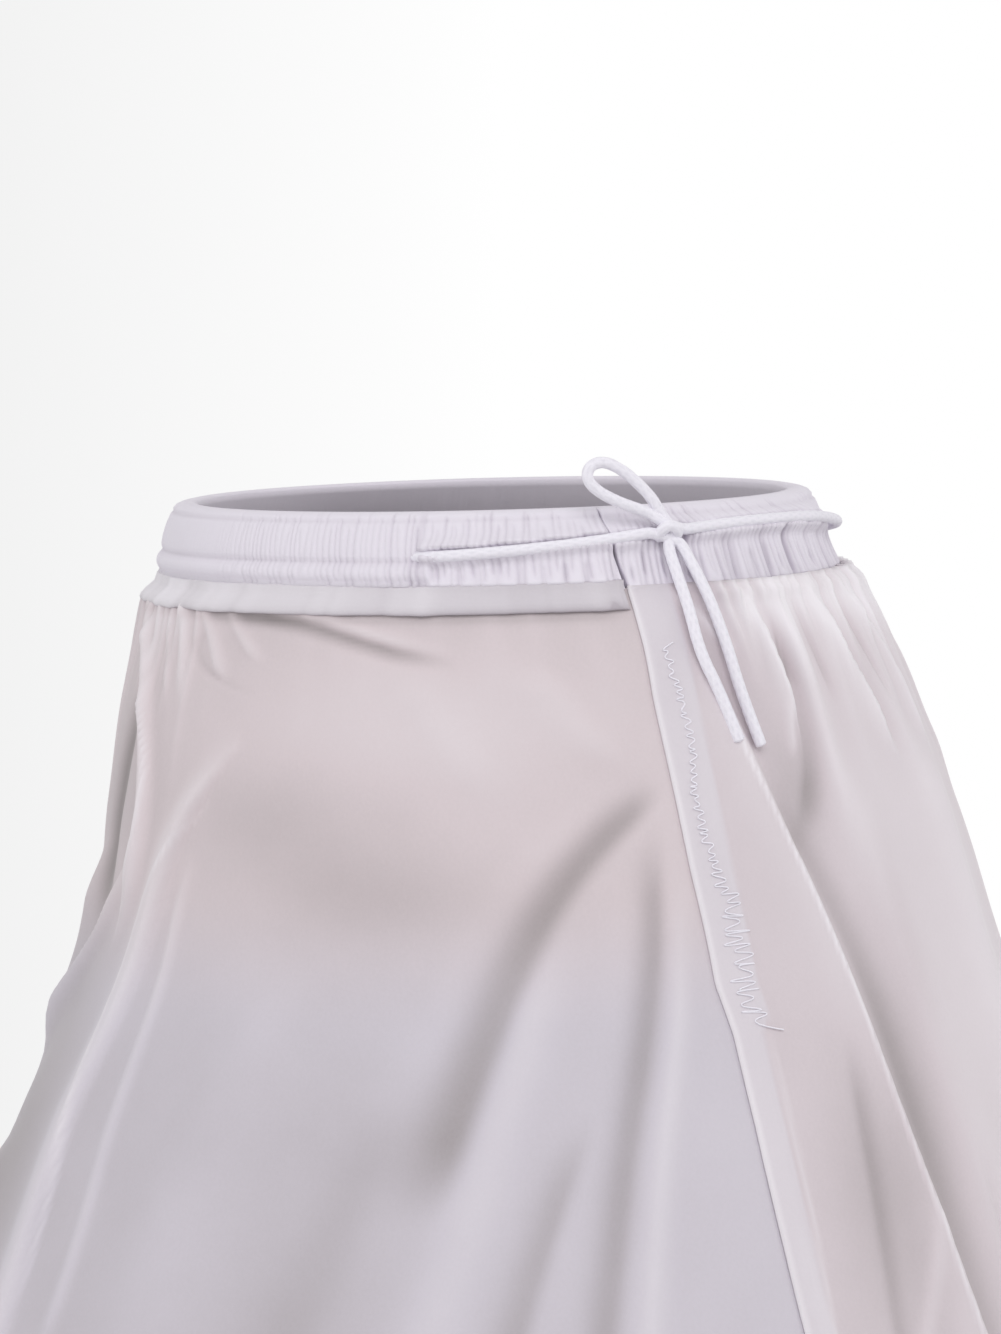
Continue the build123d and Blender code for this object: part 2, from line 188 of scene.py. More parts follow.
# %% [markdown]
# Colours are measured as the screen shows them, so a helper turns them into the light values
# that a shader takes. All cloth here shares one material: threads that cross at a fine pitch,
# read from the piece's own UV map in metres, and soft patches where the cloth is uneven. Each
# piece's tone attribute also paints light and shade: paler for painted highlights and doubled
# cloth, and towards a shade colour for painted shade.


# %% Cloth material
def screen(red, green, blue):
    """A colour of the screen, 0 to 255, as a shader's light values."""
    return tuple(((value / 255 + 0.055) / 1.055) ** 2.4 for value in (red, green, blue)) + (1.0,)


def new_finish(name):
    """An empty material, its node tree and its surface shader."""
    finish = bpy.data.materials.new(name)
    finish.use_nodes = True
    shader = finish.node_tree.nodes["Principled BSDF"]
    return finish, finish.node_tree, shader


def cloth_finish(name, body, bright, shade_color, warm=None, thread=0.34, weave_depth=0.05, roughness=0.72,
                 sheen=0.15, cloudiness=0.25):
    """Thin woven cloth: its tone makes it paler as painted light or doubled cloth, or darker as painted
    shade, and its warmth makes it warmer.
    """
    finish, tree, shader = new_finish(name)
    place = add_node(tree, "ShaderNodeUVMap", uv_map="cloth")
    across = add_node(tree, "ShaderNodeSeparateXYZ", {0: place})
    clouds, fibres = noise(tree, 22.0, 3.0), noise(tree, 900.0, 2.0)
    turns = 2 * pi / (thread * MM)
    weave = (across * turns).sine() * (across.other(1) * turns).sine()
    level = attribute(tree, "tone") + (clouds - 0.5) * cloudiness + (fibres - 0.5) * 0.12 + weave * 0.03
    if warm:
        body = mixed(attribute(tree, "warmth").clamped(), body, warm)
    # below zero the tone turns the colour towards the painted shade colour, above it towards the pale
    # colour of painted highlights and doubled cloth
    color = mixed((0.0 - level).clamped(), mixed(level.clamped(), body, bright), shade_color)
    set_inputs(tree, shader, {
        "Base Color": color, "Normal": bumped(weave * weave_depth + fibres * 0.25, 0.25, 0.4),
        "Roughness": roughness, "Sheen Weight": sheen, "Specular IOR Level": 0.25})
    return finish


# each cloth has a body colour, a pale colour for painted highlights and doubled cloth, and a colour for
# painted shade
SKIRT_CLOTH = cloth_finish("skirt cloth", screen(204, 198, 207), screen(238, 233, 238),
                           screen(150, 142, 143), warm=screen(213, 201, 205), roughness=0.6, sheen=0.2)
GATHERED_CLOTH = cloth_finish("gathered cotton", screen(221, 215, 225), screen(240, 236, 245),
                              screen(188, 180, 193), thread=0.4)
BINDING_CLOTH = cloth_finish("binding cloth", screen(217, 212, 218), screen(242, 238, 245),
                             screen(180, 172, 180), roughness=0.55)
FACING_CLOTH = cloth_finish("facing cloth", screen(216, 209, 213), screen(238, 233, 238),
                            screen(180, 172, 178))
TAPE_CLOTH = cloth_finish("casing tape", screen(224, 219, 223), screen(240, 236, 240),
                          screen(190, 183, 188), thread=0.6, weave_depth=0.12)
print("cloth finishes made")

# %% [markdown]
# The drawstring is a soft round braid, 3.8 mm thick. It leaves the casing by two slits, meets in
# a half bow at the wearer's left side, and its two ends hang down. Each stretch follows a smooth
# NURBS line through a given route. A tube is laid along the points read from that line, and
# its skin is lifted a little where the plaited strands cross.

# %% Routes of the drawstring
CORD = 0.0038
KNOT_CENTRE = Vector((0.1398, -0.0010, -0.0080))
FRONT_RUN = (
    (0.0858, -0.0796, -0.0140),
    (0.0924, -0.0755, -0.0140),
    (0.1006, -0.0728, -0.0140),
    (0.1098, -0.0703, -0.0139),
    (0.1215, -0.0577, -0.0130),
    (0.1306, -0.0412, -0.0118),
    (0.1365, -0.0228, -0.0102),
    (0.1394, -0.0072, -0.0084),
)
BACK_RUN = (
    (0.0568, 0.0943, -0.0140),
    (0.0641, 0.0917, -0.0138),
    (0.0732, 0.0904, -0.0130),
    (0.0828, 0.0897, -0.0116),
    (0.0969, 0.0795, -0.0092),
    (0.1119, 0.0643, -0.0074),
    (0.1255, 0.0449, -0.0068),
    (0.1345, 0.0236, -0.0070),
    (0.1393, 0.0052, -0.0079),
)
BOW_LOOP = (
    (0.1386, -0.0062, -0.0022),
    (0.1384, -0.0115, -0.0002),
    (0.1376, -0.0175, 0.0022),
    (0.1366, -0.0236, 0.0056),
    (0.1358, -0.0272, 0.0096),
    (0.1356, -0.0262, 0.0140),
    (0.1360, -0.0210, 0.0154),
    (0.1369, -0.0152, 0.0124),
    (0.1380, -0.0096, 0.0074),
    (0.1390, -0.0046, 0.0014),
    (0.1392, -0.0026, -0.0030),
)
FRONT_TAIL = (
    (0.1416, -0.0016, -0.0134),
    (0.1450, -0.0012, -0.0200),
    (0.1504, 0.0006, -0.0320),
    (0.1560, 0.0016, -0.0470),
    (0.1598, 0.0066, -0.0600),
    (0.1628, 0.0114, -0.0760),
)
BACK_TAIL = (
    (0.1422, 0.0028, -0.0128),
    (0.1456, 0.0048, -0.0190),
    (0.1506, 0.0082, -0.0300),
    (0.1556, 0.0116, -0.0456),
    (0.1589, 0.0144, -0.0610),
    (0.1619, 0.0196, -0.0780),
)


# %% Points along a smooth line
def smooth_line(name, route, spacing=0.00035):
    """Evenly spaced points read from a NURBS line along a route."""
    curve = bpy.data.curves.new(name, "CURVE")
    curve.dimensions, curve.resolution_u = "3D", 32
    spline = curve.splines.new("NURBS")
    spline.points.add(len(route) - 1)
    for point, place in zip(spline.points, route):
        point.co = (*place, 1.0)
    spline.order_u = 3
    spline.use_endpoint_u = True
    holder = bpy.data.objects.new(name, curve)
    scene.collection.objects.link(holder)
    mesh = bpy.data.meshes.new_from_object(holder)
    points = np.array([vertex.co for vertex in mesh.vertices])
    bpy.data.objects.remove(holder)
    bpy.data.meshes.remove(mesh)
    along = np.append(0.0, np.cumsum(np.linalg.norm(np.diff(points, axis=0), axis=1)))
    places = np.linspace(0.0, along[-1], max(8, round(along[-1] / spacing)))
    return np.stack([np.interp(places, along, points[:, k]) for k in range(3)], axis=1), along[-1]


# %% [markdown]
# Nearly every piece here is a sheet or a tube of cloth, which is a grid whose vertices are moved
# into place. One helper makes the grid with a bmesh operator, asks the piece's own function where
# each share (u, v) belongs, and stores the cloth's own measure in metres as its UV map.


# %% Grids moved into place
def riding(name, mesh, finish):
    """A piece of the scene, in its finish, that rides on the one body."""
    mesh.materials.append(finish)
    piece = bpy.data.objects.new(name, mesh)
    scene.collection.objects.link(piece)
    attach(piece, "root")
    return piece


def shaped_grid(name, columns, rows, place, finish, close=False):
    """A grid of columns by rows cells; place gives points, cloth measure, tone and warmth."""
    cloth = bmesh.new()
    cloth.loops.layers.uv.new("cloth")
    bmesh.ops.create_grid(cloth, x_segments=columns, y_segments=rows, size=0.5)
    mesh = bpy.data.meshes.new(name)
    cloth.to_mesh(mesh)
    cloth.free()
    shares = np.empty(len(mesh.vertices) * 3, np.float32)
    mesh.vertices.foreach_get("co", shares)
    shares = shares.reshape(-1, 3).astype(float)
    points, measure, *shades = place(shares[:, 0] + 0.5, shares[:, 1] + 0.5)
    mesh.vertices.foreach_set("co", points.astype(np.float32).ravel())
    corners = np.empty(len(mesh.loops), np.int32)
    mesh.loops.foreach_get("vertex_index", corners)
    mesh.uv_layers["cloth"].data.foreach_set("uv", measure[corners].astype(np.float32).ravel())
    for label, shade in zip(("tone", "warmth"), shades):
        mesh.attributes.new(label, "FLOAT", "POINT").data.foreach_set("value", shade.astype(np.float32))
    if close:
        merged = bmesh.new()
        merged.from_mesh(mesh)
        bmesh.ops.remove_doubles(merged, verts=merged.verts, dist=1e-6)
        merged.to_mesh(mesh)
        merged.free()
    mesh.polygons.foreach_set("use_smooth", [True] * len(mesh.polygons))
    return riding(name, mesh, finish)


def cord_finish():
    """Soft white braid, with painted shade between its strands."""
    finish, tree, shader = new_finish("braided cotton")
    fibres = noise(tree, 1400.0, 3.0)
    level = (attribute(tree, "tone") + fibres * 0.4 - 0.2).clamped()
    set_inputs(tree, shader, {
        "Base Color": mixed(level, screen(206, 202, 213), screen(238, 235, 243)),
        "Normal": bumped(fibres, 0.3, 0.3), "Roughness": 0.8, "Sheen Weight": 0.2,
        "Specular IOR Level": 0.2})
    return finish


BRAID = cord_finish()


# %% Braided tube along a route
BRAID_STRANDS, BRAID_PITCH, BRAID_DIP = 6, 6.0 * MM, 0.05 * MM
ROUNDED_END = 0.9 * MM


def braided_cord(name, route, around=20):
    """A plaited round cord along a route, its two ends closed."""
    line, length = smooth_line(name, route)
    ahead = np.gradient(line, axis=0)
    ahead /= np.linalg.norm(ahead, axis=1)[:, None]
    side = np.empty_like(line)
    side[0] = np.cross(ahead[0], (0.31, 0.52, 0.79))
    for i in range(1, len(line)):
        side[i] = side[i - 1] - ahead[i] * (side[i - 1] @ ahead[i])
    side /= np.linalg.norm(side, axis=1)[:, None]
    third = np.cross(ahead, side)

    def place(u, v):
        ring = np.rint(v * (len(line) - 1)).astype(int)
        turn = 2 * pi * u
        along = v * length
        over = np.cos(BRAID_STRANDS * turn + 2 * pi * along / BRAID_PITCH)
        under = np.cos(BRAID_STRANDS * turn - 2 * pi * along / BRAID_PITCH)
        lift = np.maximum(over, under)
        left = np.minimum(along, length - along) / ROUNDED_END
        taper = np.sqrt(np.clip(1 - (1 - np.clip(left, 0, 1)) ** 2, 0, 1))
        radius = (CORD / 2 - BRAID_DIP * (1 - lift)) * taper
        points = (line[ring] + side[ring] * (radius * np.cos(turn))[:, None]
                  + third[ring] * (radius * np.sin(turn))[:, None])
        # the tone paints shade between the raised strands
        return points, np.stack([u * CORD * pi, along], axis=1), 0.82 + 0.18 * lift

    cord = shaped_grid(name, around, len(line) - 1, place, BRAID, close=True)
    print(name, round(length * 1000), "mm long")
    return cord, line, length


# %% The five free stretches
for name, route, far_end, lay in (
    ("drawstring_front_run", FRONT_RUN, "object", "taut"),
    ("drawstring_back_run", BACK_RUN, "object", "taut"),
    ("drawstring_bow_loop", BOW_LOOP, "object", "loose"),
    ("drawstring_front_tail", FRONT_TAIL, "bare", "hanging"),
    ("drawstring_back_tail", BACK_TAIL, "bare", "hanging"),
):
    cord, line, length = braided_cord(name.replace("drawstring", "cord"), route)
    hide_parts(name)

# %% [markdown]
# The knot is the cord itself. Three short strands go through it, from the two runs and the loop to
# the tails, and one turn wraps them. Each is the same braid on a small route, in millimetres from
# the knot's middle, and its ends lie inside the free stretches so that no gap shows.

# %% Knot
KNOT_ROUTES = {
    "knot_wrap": ((-2.2, -1.8, -2.2), (-0.4, -3.0, -1.6), (2.2, -3.0, 0.4), (3.6, -1.2, 2.0),
                  (3.8, 1.4, 1.2), (2.4, 2.8, -0.6), (-0.4, 2.6, -2.0), (-2.2, 0.8, -2.0)),
    "knot_loop_strand": ((-0.6, 8.0, 0.2), (-0.5, 6.2, 0.1), (0.4, 3.6, 0.8), (1.2, 0.6, 1.6),
                         (0.4, -2.6, 3.6), (-1.2, -5.2, 5.8), (-1.3, -7.0, 6.5)),
    "knot_back_strand": ((-0.5, -8.0, -0.6), (-0.4, -6.2, -0.4), (0.4, -3.6, -1.0), (1.0, 0.0, -2.2),
                         (1.8, 2.6, -3.6), (2.4, 3.8, -4.8), (3.6, 4.4, -6.8)),
    "knot_front_strand": ((-0.7, -3.4, 8.2), (-0.6, -1.6, 5.0), (0.4, 0.4, 2.4), (0.8, 0.8, -0.6),
                          (1.2, 0.0, -3.4), (1.8, -0.6, -5.4), (3.2, -0.4, -7.8)),
}
for name, steps in KNOT_ROUTES.items():
    strand, _, _ = braided_cord(name, [KNOT_CENTRE + Vector(step) * MM for step in steps])
    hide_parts("drawstring_knot")

# %% [markdown]
# The skirt's outline is an oval at the hips that turns round at the first hoop. The levels below
# repeat the CAD model's outline, in millimetres below the top edge, so the cloth hangs where its
# solids are. Between the levels a smooth curve is laid, and below the first hoop a straight one.

# %% Outline of the skirt
BAND_HEIGHT = 26.0
BAND_HALF_WIDTH, BAND_HALF_DEPTH = 119.5, 92.5
BAND_SPREAD_SIDE, BAND_SPREAD_FRONT = 15.5, 12.3
BAND_WALL = 9.0
# mm below the band's seam, then how far half the width, half the depth and the shift have grown
HIP_LEVELS = (
    (19.0, 8.0, 7.2, 3.0),
    (40.0, 13.0, 16.2, 6.0),
    (74.0, 21.0, 26.7, 10.0),
    (124.0, 31.0, 38.2, 14.0),
    (181.0, 49.0, 61.2, 9.0),
    (256.0, 72.0, 91.2, 3.0),
    (324.0, 93.0, 119.2, 1.0),
)
FIRST_HOOP_DEPTH, FIRST_HOOP_RADIUS, HOOP_COUNT = 430.0, 264.0, 3
SKIRT_LENGTH, HEM_RADIUS, LAST_HOOP_ABOVE_HEM = 1000.0, 464.0, 40.0
CHANNEL_HALF = 12.5
TIER_SAG = 4.0
slope = (HEM_RADIUS - FIRST_HOOP_RADIUS) / (SKIRT_LENGTH - FIRST_HOOP_DEPTH)
hoop_step = (SKIRT_LENGTH - LAST_HOOP_ABOVE_HEM - FIRST_HOOP_DEPTH) / (HOOP_COUNT - 1)
HOOP_DEPTHS = [FIRST_HOOP_DEPTH + hoop_step * i for i in range(HOOP_COUNT)]
HOOP_RADII = [FIRST_HOOP_RADIUS + hoop_step * i * slope for i in range(HOOP_COUNT)]
hoop_top = FIRST_HOOP_DEPTH - CHANNEL_HALF
hoop_top_radius = FIRST_HOOP_RADIUS - CHANNEL_HALF * slope
waist = np.array((BAND_HEIGHT, BAND_HALF_WIDTH + BAND_SPREAD_SIDE + BAND_WALL,
                  BAND_HALF_DEPTH + BAND_SPREAD_FRONT + BAND_WALL, 0.0))
LEVELS = np.array((waist, *(waist + level for level in HIP_LEVELS),
                   (hoop_top, hoop_top_radius, hoop_top_radius, 0.0)))


def outline_table():
    """Half width, half depth and shift at every millimetre below the band."""
    depths = np.arange(BAND_HEIGHT, SKIRT_LENGTH + 1.0)
    slopes = np.gradient(LEVELS[:, 1:], LEVELS[:, 0], axis=0, edge_order=1)
    rows = []
    for depth in depths:
        if depth >= hoop_top:
            radius = hoop_top_radius + (depth - hoop_top) * slope
            rows.append((radius, radius, 0.0))
            continue
        index = int(np.searchsorted(LEVELS[:, 0], depth, side="right")) - 1
        span = LEVELS[index + 1, 0] - LEVELS[index, 0]
        s = (depth - LEVELS[index, 0]) / span
        rows.append(
            (2 * s**3 - 3 * s**2 + 1) * LEVELS[index, 1:] + (s**3 - 2 * s**2 + s) * span * slopes[index]
            + (3 * s**2 - 2 * s**3) * LEVELS[index + 1, 1:] + (s**3 - s**2) * span * slopes[index + 1])
    return depths, np.array(rows)


table_depths, table_axes = outline_table()


def oval(half_width, half_depth, shift, angle, out, depth):
    """Points in mm at angles in degrees, out mm outside an oval."""
    t = np.radians(angle)
    nx, ny = np.cos(t) / half_width, np.sin(t) / half_depth
    size = np.hypot(nx, ny)
    return np.stack([half_width * np.cos(t) + out * nx / size,
                     shift + half_depth * np.sin(t) + out * ny / size, -depth], axis=1)


def axes_at(depth):
    """Half width, half depth and shift of the skirt's outline at depths."""
    return [np.interp(depth, table_depths, column) for column in table_axes.T]


def outline(angle, depth, out):
    """Points in mm at angles in degrees and depths, out mm outside the skirt's outline."""
    return oval(*axes_at(depth), angle, out, depth)


# %% [markdown]
# Folds are what make thin cloth read as cloth. Each one in the table is a line down the skirt,
# given as (degrees round the waist, mm below the top edge), with how far it rises and how wide it
# is on either side of its crest. A narrow side makes a sharp edge and a wide one a soft slope.
# The last number sets the fold's tone: paler on a crest, as painted highlight and as a doubled
# layer is, or darker, as painted shade in a valley or where the cloth turns from the light.

# %% Folds of the skirt
# path, rise mm, width before and after the crest mm, tone (above 0 painted highlight or doubled cloth,
# below 0 painted shade)
FRONT_FOLDS = (
    (((-104, 30), (-97, 58), (-91, 80), (-89, 104), (-93, 122), (-98, 150)), 4.0, 6, 4, 0.55),
    (((-72, 76), (-76, 96), (-80, 112), (-87, 134), (-91, 156), (-90, 184), (-86, 214), (-85, 250),
      (-86, 300), (-88, 400)), 4.5, 14, 4, 0.5),
    (((-78, 116), (-81, 138), (-81, 170), (-80, 200), (-79, 222), (-79, 280)), 1.6, 4, 3, 0.3),
    (((-92, 112), (-102, 138), (-112, 162), (-118, 200)), 3.5, 4, 7, 0.35),
    (((-100, 60), (-102, 90), (-104, 120), (-106, 150)), -2.5, 6, 7, -0.8),
    (((-98, 26), (-97, 40), (-96, 56)), 1.6, 3, 3, 0.5),
    (((-90, 26), (-87, 44), (-85, 66)), 1.5, 3, 3, 0.4),
    (((-84, 28), (-79, 44), (-75, 58)), 1.2, 3, 4, 0.35),
    (((-77, 30), (-73, 40), (-68, 50)), 1.0, 3, 4, 0.3),
    (((-82, 40), (-77, 54), (-66, 60)), -0.8, 4, 4, -0.15),
    (((-26, 50), (-20, 70), (-15, 86)), 1.2, 12, 8, 0.12),
    (((-44, 50), (-38, 72), (-32, 96)), 0.9, 10, 12, 0.08),
    (((-6, 84), (-13, 95), (-20, 108), (-25, 124), (-31, 148), (-34, 172), (-36, 198), (-38, 226)),
     -3.0, 13, 6, -0.62),
    (((-18, 92), (-27, 112), (-33, 136), (-39, 166), (-42, 200)), 0.8, 12, 9, 0.12),
    (((-12, 106), (-14, 140), (-16, 170), (-17, 202), (-18, 232), (-19, 270), (-20, 380)),
     -2.6, 8, 4, -0.5),
    (((-9, 114), (-12, 156), (-13, 186), (-14, 216), (-15, 260), (-16, 380)), 1.8, 4, 6, 0.3),
    (((-22, 196), (-24, 212), (-25, 230), (-27, 256), (-29, 300), (-31, 390)), -2.2, 9, 4, -0.4),
    (((-28, 140), (-31, 190), (-34, 240), (-37, 380)), 2.6, 14, 12, 0.28),
    (((-44, 190), (-47, 228), (-49, 256), (-50, 380)), -2.4, 16, 14, -0.2),
    (((-62, 150), (-65, 240), (-68, 380)), 3.0, 22, 22, 0.1),
    (((-108, 118), (-114, 150), (-118, 190)), 5.5, 10, 16, 0.1),
    (((-112, 222), (-116, 250), (-118, 330)), 13.0, 22, 20, -0.25),
    (((-97.4, 58), (-91.4, 80), (-89.4, 104), (-93.4, 122), (-98.4, 150)), 0.6, 1.4, 1.0, 0.5),
    (((-76.4, 96), (-80.4, 112), (-87.4, 134), (-91.4, 156), (-90.4, 184), (-86.4, 214), (-85.4, 264)),
     0.6, 1.6, 1.0, 0.4),
    (((-100, 34), (-101, 52), (-99, 80)), 1.2, 1.6, 1.2, 0.3),
    (((-93, 32), (-91, 48), (-88, 66)), 1.2, 1.6, 1.2, 0.3),
    (((-134, 60), (-137, 200), (-138, 390)), 4.0, 16, 12, 0.1),
    (((-146, 60), (-147, 200), (-148, 390)), -4.0, 14, 14, -0.1),
    (((-158, 60), (-160, 200), (-160, 390)), 4.5, 16, 14, 0.1),
)
BACK_FOLDS = (
    (((1, 50), (2, 72), (4, 98), (7, 122), (11, 152), (14, 186), (16, 214), (18, 242), (20, 268),
      (24, 390)), 4.0, 14, 2.4, 0.3),
    (((0.6, 60), (1.7, 72), (3.7, 98), (6.7, 122), (10.7, 152), (13.7, 186), (15.7, 214), (17.8, 242),
      (19.8, 268), (23.8, 390)), 0.5, 1.2, 1.0, 0.8),
    (((4, 90), (9, 122), (13, 152), (16.5, 186), (19, 230), (22, 300)), -1.0, 4, 8, -0.4),
    (((-1, 26), (2, 36), (6, 50)), 1.6, 3, 2.5, 0.5),
    (((10, 26), (11, 34), (12, 50), (13, 68), (12, 74)), 2.4, 4, 2.4, 0.55),
    (((12.4, 64), (11, 76), (10, 84)), 1.4, 2.5, 2.5, 0.4),
    (((14, 44), (14.6, 56), (14.6, 72), (13, 92), (9, 104), (6, 116)), -3.2, 5, 5, -0.55),
    (((17, 34), (17, 60), (16.5, 88), (15, 120)), 1.5, 4, 5, 0.15),
    (((24, 26), (26, 34), (28, 50), (30, 68), (32, 90)), 2.4, 5, 2.4, 0.5),
    (((27, 40), (31, 60), (34, 90)), -1.4, 3, 5, -0.3),
    (((19, 86), (19, 118), (20, 150), (23, 182), (27, 240), (30, 380)), 2.6, 9, 16, 0.2),
    (((36, 28), (40, 44), (42, 64), (43, 90)), 1.8, 4, 5, 0.3),
    (((41, 80), (39, 110), (39, 150), (40, 200), (42, 380)), 3.0, 16, 12, 0.15),
    (((48, 28), (52, 60), (55, 110)), 2.0, 5, 6, 0.2),
    (((-1, 216), (1, 234), (2, 262), (4, 300), (6, 390)), 1.4, 4, 3, 0.25),
    (((17, 226), (15, 250), (13, 268), (11, 390)), 1.6, 3, 5, 0.3),
    (((9, 176), (10, 210), (10.5, 260), (11, 360)), -1.6, 3, 4, -0.3),
    (((26, 214), (27, 250), (28, 300), (29, 390)), -2.0, 3, 6, -0.15),
    (((34, 196), (37, 240), (40, 390)), 2.0, 4, 8, 0.2),
    (((10.3, 26), (11.3, 34), (12.3, 50), (13.3, 68), (12.8, 78), (12.6, 84)), 0.9, 1.1, 0.8, 0.6),
    (((14.2, 30), (14.6, 44), (15.4, 64)), -1.4, 1.6, 1.4, -0.4),
    (((26.4, 34), (28.4, 50), (30.4, 68), (32.4, 90)), 0.9, 1.1, 0.8, 0.45),
    (((36.4, 30), (40.4, 44), (42.4, 64), (43.4, 90)), 0.9, 1.1, 0.8, 0.4),
    (((3, 28), (4.4, 38), (6, 48)), 0.9, 1.1, 0.9, 0.4),
    (((20, 26), (21.4, 44), (22, 70)), -1.6, 1.6, 2.0, -0.35),
    (((33, 26), (35, 44), (37, 74)), -1.6, 1.6, 2.0, -0.35),
    (((-1.2, 168), (1, 200), (2.5, 236), (3.5, 270), (5, 380)), 0.7, 1.1, 0.9, 0.4),
    (((66, 60), (68, 165), (70, 390)), -9.0, 40, 34, 0.0),
    (((64, 18), (66, 45), (66, 90)), -4.5, 26, 34, 0.0),
    (((62, 130), (64, 200), (66, 390)), -5.0, 24, 18, 0.0),
    (((88, 60), (90, 200), (92, 390)), 5.5, 18, 16, 0.1),
    (((112, 60), (114, 200), (116, 390)), 5.0, 16, 16, 0.1),
    (((136, 60), (137, 200), (139, 390)), 5.5, 18, 16, 0.1),
    (((160, 60), (160, 200), (160, 390)), 5.0, 18, 16, 0.1),
)
# a short crease runs down from the front binding: (degrees, mm) along it, then its depth and half
# width mm, and its painted shade, with a painted highlight on the ridge above it
CREASE = ((-84, 34.0), (-76, 34.0), (-68, 34.5), (-62, 36.0), (-56, 39.0), (-51, 42.0), (-46, 45.0),
          (-40, 47.5), (-35, 49.0))
CREASE_DEPTH, CREASE_HALF, CREASE_SHADE = 2.0, 2.2, 0.6
# painted patches of light and shade, also paler where the cloth lies double: degrees, mm, half width in
# degrees, half height in mm, tone
FRONT_PAINTED_PATCHES = (
    (-66, 98, 17, 17, -0.26), (-50, 122, 17, 16, -0.26), (-38, 66, 26, 20, 0.2),
    (-104, 88, 8, 36, -0.35), (-112, 170, 14, 50, -0.35), (-94, 32, 14, 10, 0.35),
    (-60, 190, 30, 40, -0.22), (-48, 262, 26, 44, -0.25), (-20, 62, 10, 22, -0.05),
    (-104, 240, 14, 60, -0.65), (-92, 90, 5, 40, -0.25), (-78, 262, 12, 50, -0.15),
)
BACK_PAINTED_PATCHES = (
    (10, 94, 5, 16, -0.35), (26, 110, 12, 50, 0.22), (44, 130, 18, 70, 0.28), (30, 200, 16, 50, 0.22),
    (22, 32, 26, 9, 0.35), (52, 34, 24, 10, 0.3), (6, 66, 5, 20, -0.12), (21, 206, 5, 60, -0.3),
    (12, 190, 6, 50, -0.2), (34, 270, 12, 40, -0.08),
    (15, 215, 4, 70, -0.25), (21, 140, 3, 40, -0.2), (10, 222, 6, 40, -0.25),
)


# how a fold runs in and out at its ends: at most so many mm, or a share of its length
LONGEST_RUN_IN, RUN_IN_SHARE, ALREADY_IN = 30.0, 0.35, 0.3


def smooth_step(value):
    """Rises smoothly from 0 to 1."""
    value = np.clip(value, 0.0, 1.0)
    return value * value * (3 - 2 * value)


def ramp(value, low, high):
    """0 where the value is at low, or beyond it, and smoothly up to 1 at high."""
    return smooth_step((value - low) / (high - low))


def bell(value, middle, width):
    """1 at the middle, falling off on both sides."""
    return np.exp(-((value - middle) / width) ** 2)


def fold_field(folds, angle, depth, radius):
    """How far a table of folds lifts the cloth, in mm, and how its painted light and shade change the
    tone.
    """
    lift, tone = np.zeros_like(angle), np.zeros_like(angle)
    for path, rise, before, after, shade in folds:
        angles, depths = np.array(path, float).T
        bend = np.polyfit(depths, angles, min(3, len(depths) - 1))
        crest = np.polyval(bend, np.clip(depth, depths[0], depths[-1]))
        across = np.radians(angle - crest) * radius
        spread = radius / np.interp((depths[0] + depths[-1]) / 2, table_depths, table_axes[:, 0])
        shape = np.exp(-(across / (np.where(across < 0, before, after) * spread)) ** 2)
        run_in = min(LONGEST_RUN_IN, (depths[-1] - depths[0]) * RUN_IN_SHARE)
        shape *= smooth_step((depth - depths[0]) / run_in + ALREADY_IN)
        shape *= smooth_step((depths[-1] - depth) / run_in)
        lift += rise * shape
        tone += shade * shape
    return lift, tone


def painted_patches(patches, angle, depth):
    """Soft painted light and painted shade: paler where the cloth faces the light or lies double, darker
    where it turns from the light.
    """
    tone = np.zeros_like(angle)
    for at, down, half_width, half_height, shade in patches:
        tone += shade * np.exp(-((angle - at) / half_width) ** 2 - ((depth - down) / half_height) ** 2)
    return tone


def crease_field(angle, depth):
    """The short crease under the front binding, as a share of its full depth."""
    along, down = np.array(CREASE, float).T
    middle = np.interp(angle, along, down)
    ends = ramp(angle, along[0], along[0] + 20.0) * ramp(angle, along[-1], along[-1] - 14.0)
    ridge = bell(depth, middle - 2 * CREASE_HALF, CREASE_HALF)
    return ends * (bell(depth, middle, CREASE_HALF) - 0.4 * ridge)


# %% [markdown]
# Where the skirt is drawn into the band it breaks into fine gathers. They are drawn from a seeded
# random table: each has its own place, height, width and length, and dies out down the skirt.


# %% Fine gathers under the band
WAIST_RADIUS = 135.0
TAPE_RISE, TAPE_HALF, STITCH_DRAW, STITCH_HALF, STITCHES_FROM_HOOP = 1.0, 6.0, 0.7, 2.5, 10.0


def gather_field(seed, start, end, pitch, rise, length, angle, depth, radius):
    """Fine upright gathers between two angles, in mm."""
    draw = np.random.default_rng(seed)
    lift = np.zeros_like(angle)
    place = start
    while place < end:
        size, run = rise * draw.uniform(0.4, 1.3), length * draw.uniform(0.4, 1.6)
        width, lean = draw.uniform(0.2, 0.4) * pitch, draw.normal(0.0, 0.05)
        reach = depth - BAND_HEIGHT
        near = (np.abs(angle - place) < 12) & (reach < run)
        across = np.radians(angle[near] - place) * radius[near] - lean * reach[near]
        spread = width * (1 + reach[near] / 60)
        ridge = np.exp(-np.abs(across / spread) ** 1.5)
        lift[near] += size * (1 - reach[near] / run) ** 1.3 * ridge
        place += pitch * draw.uniform(0.7, 1.4) / WAIST_RADIUS * 180 / pi
    return lift


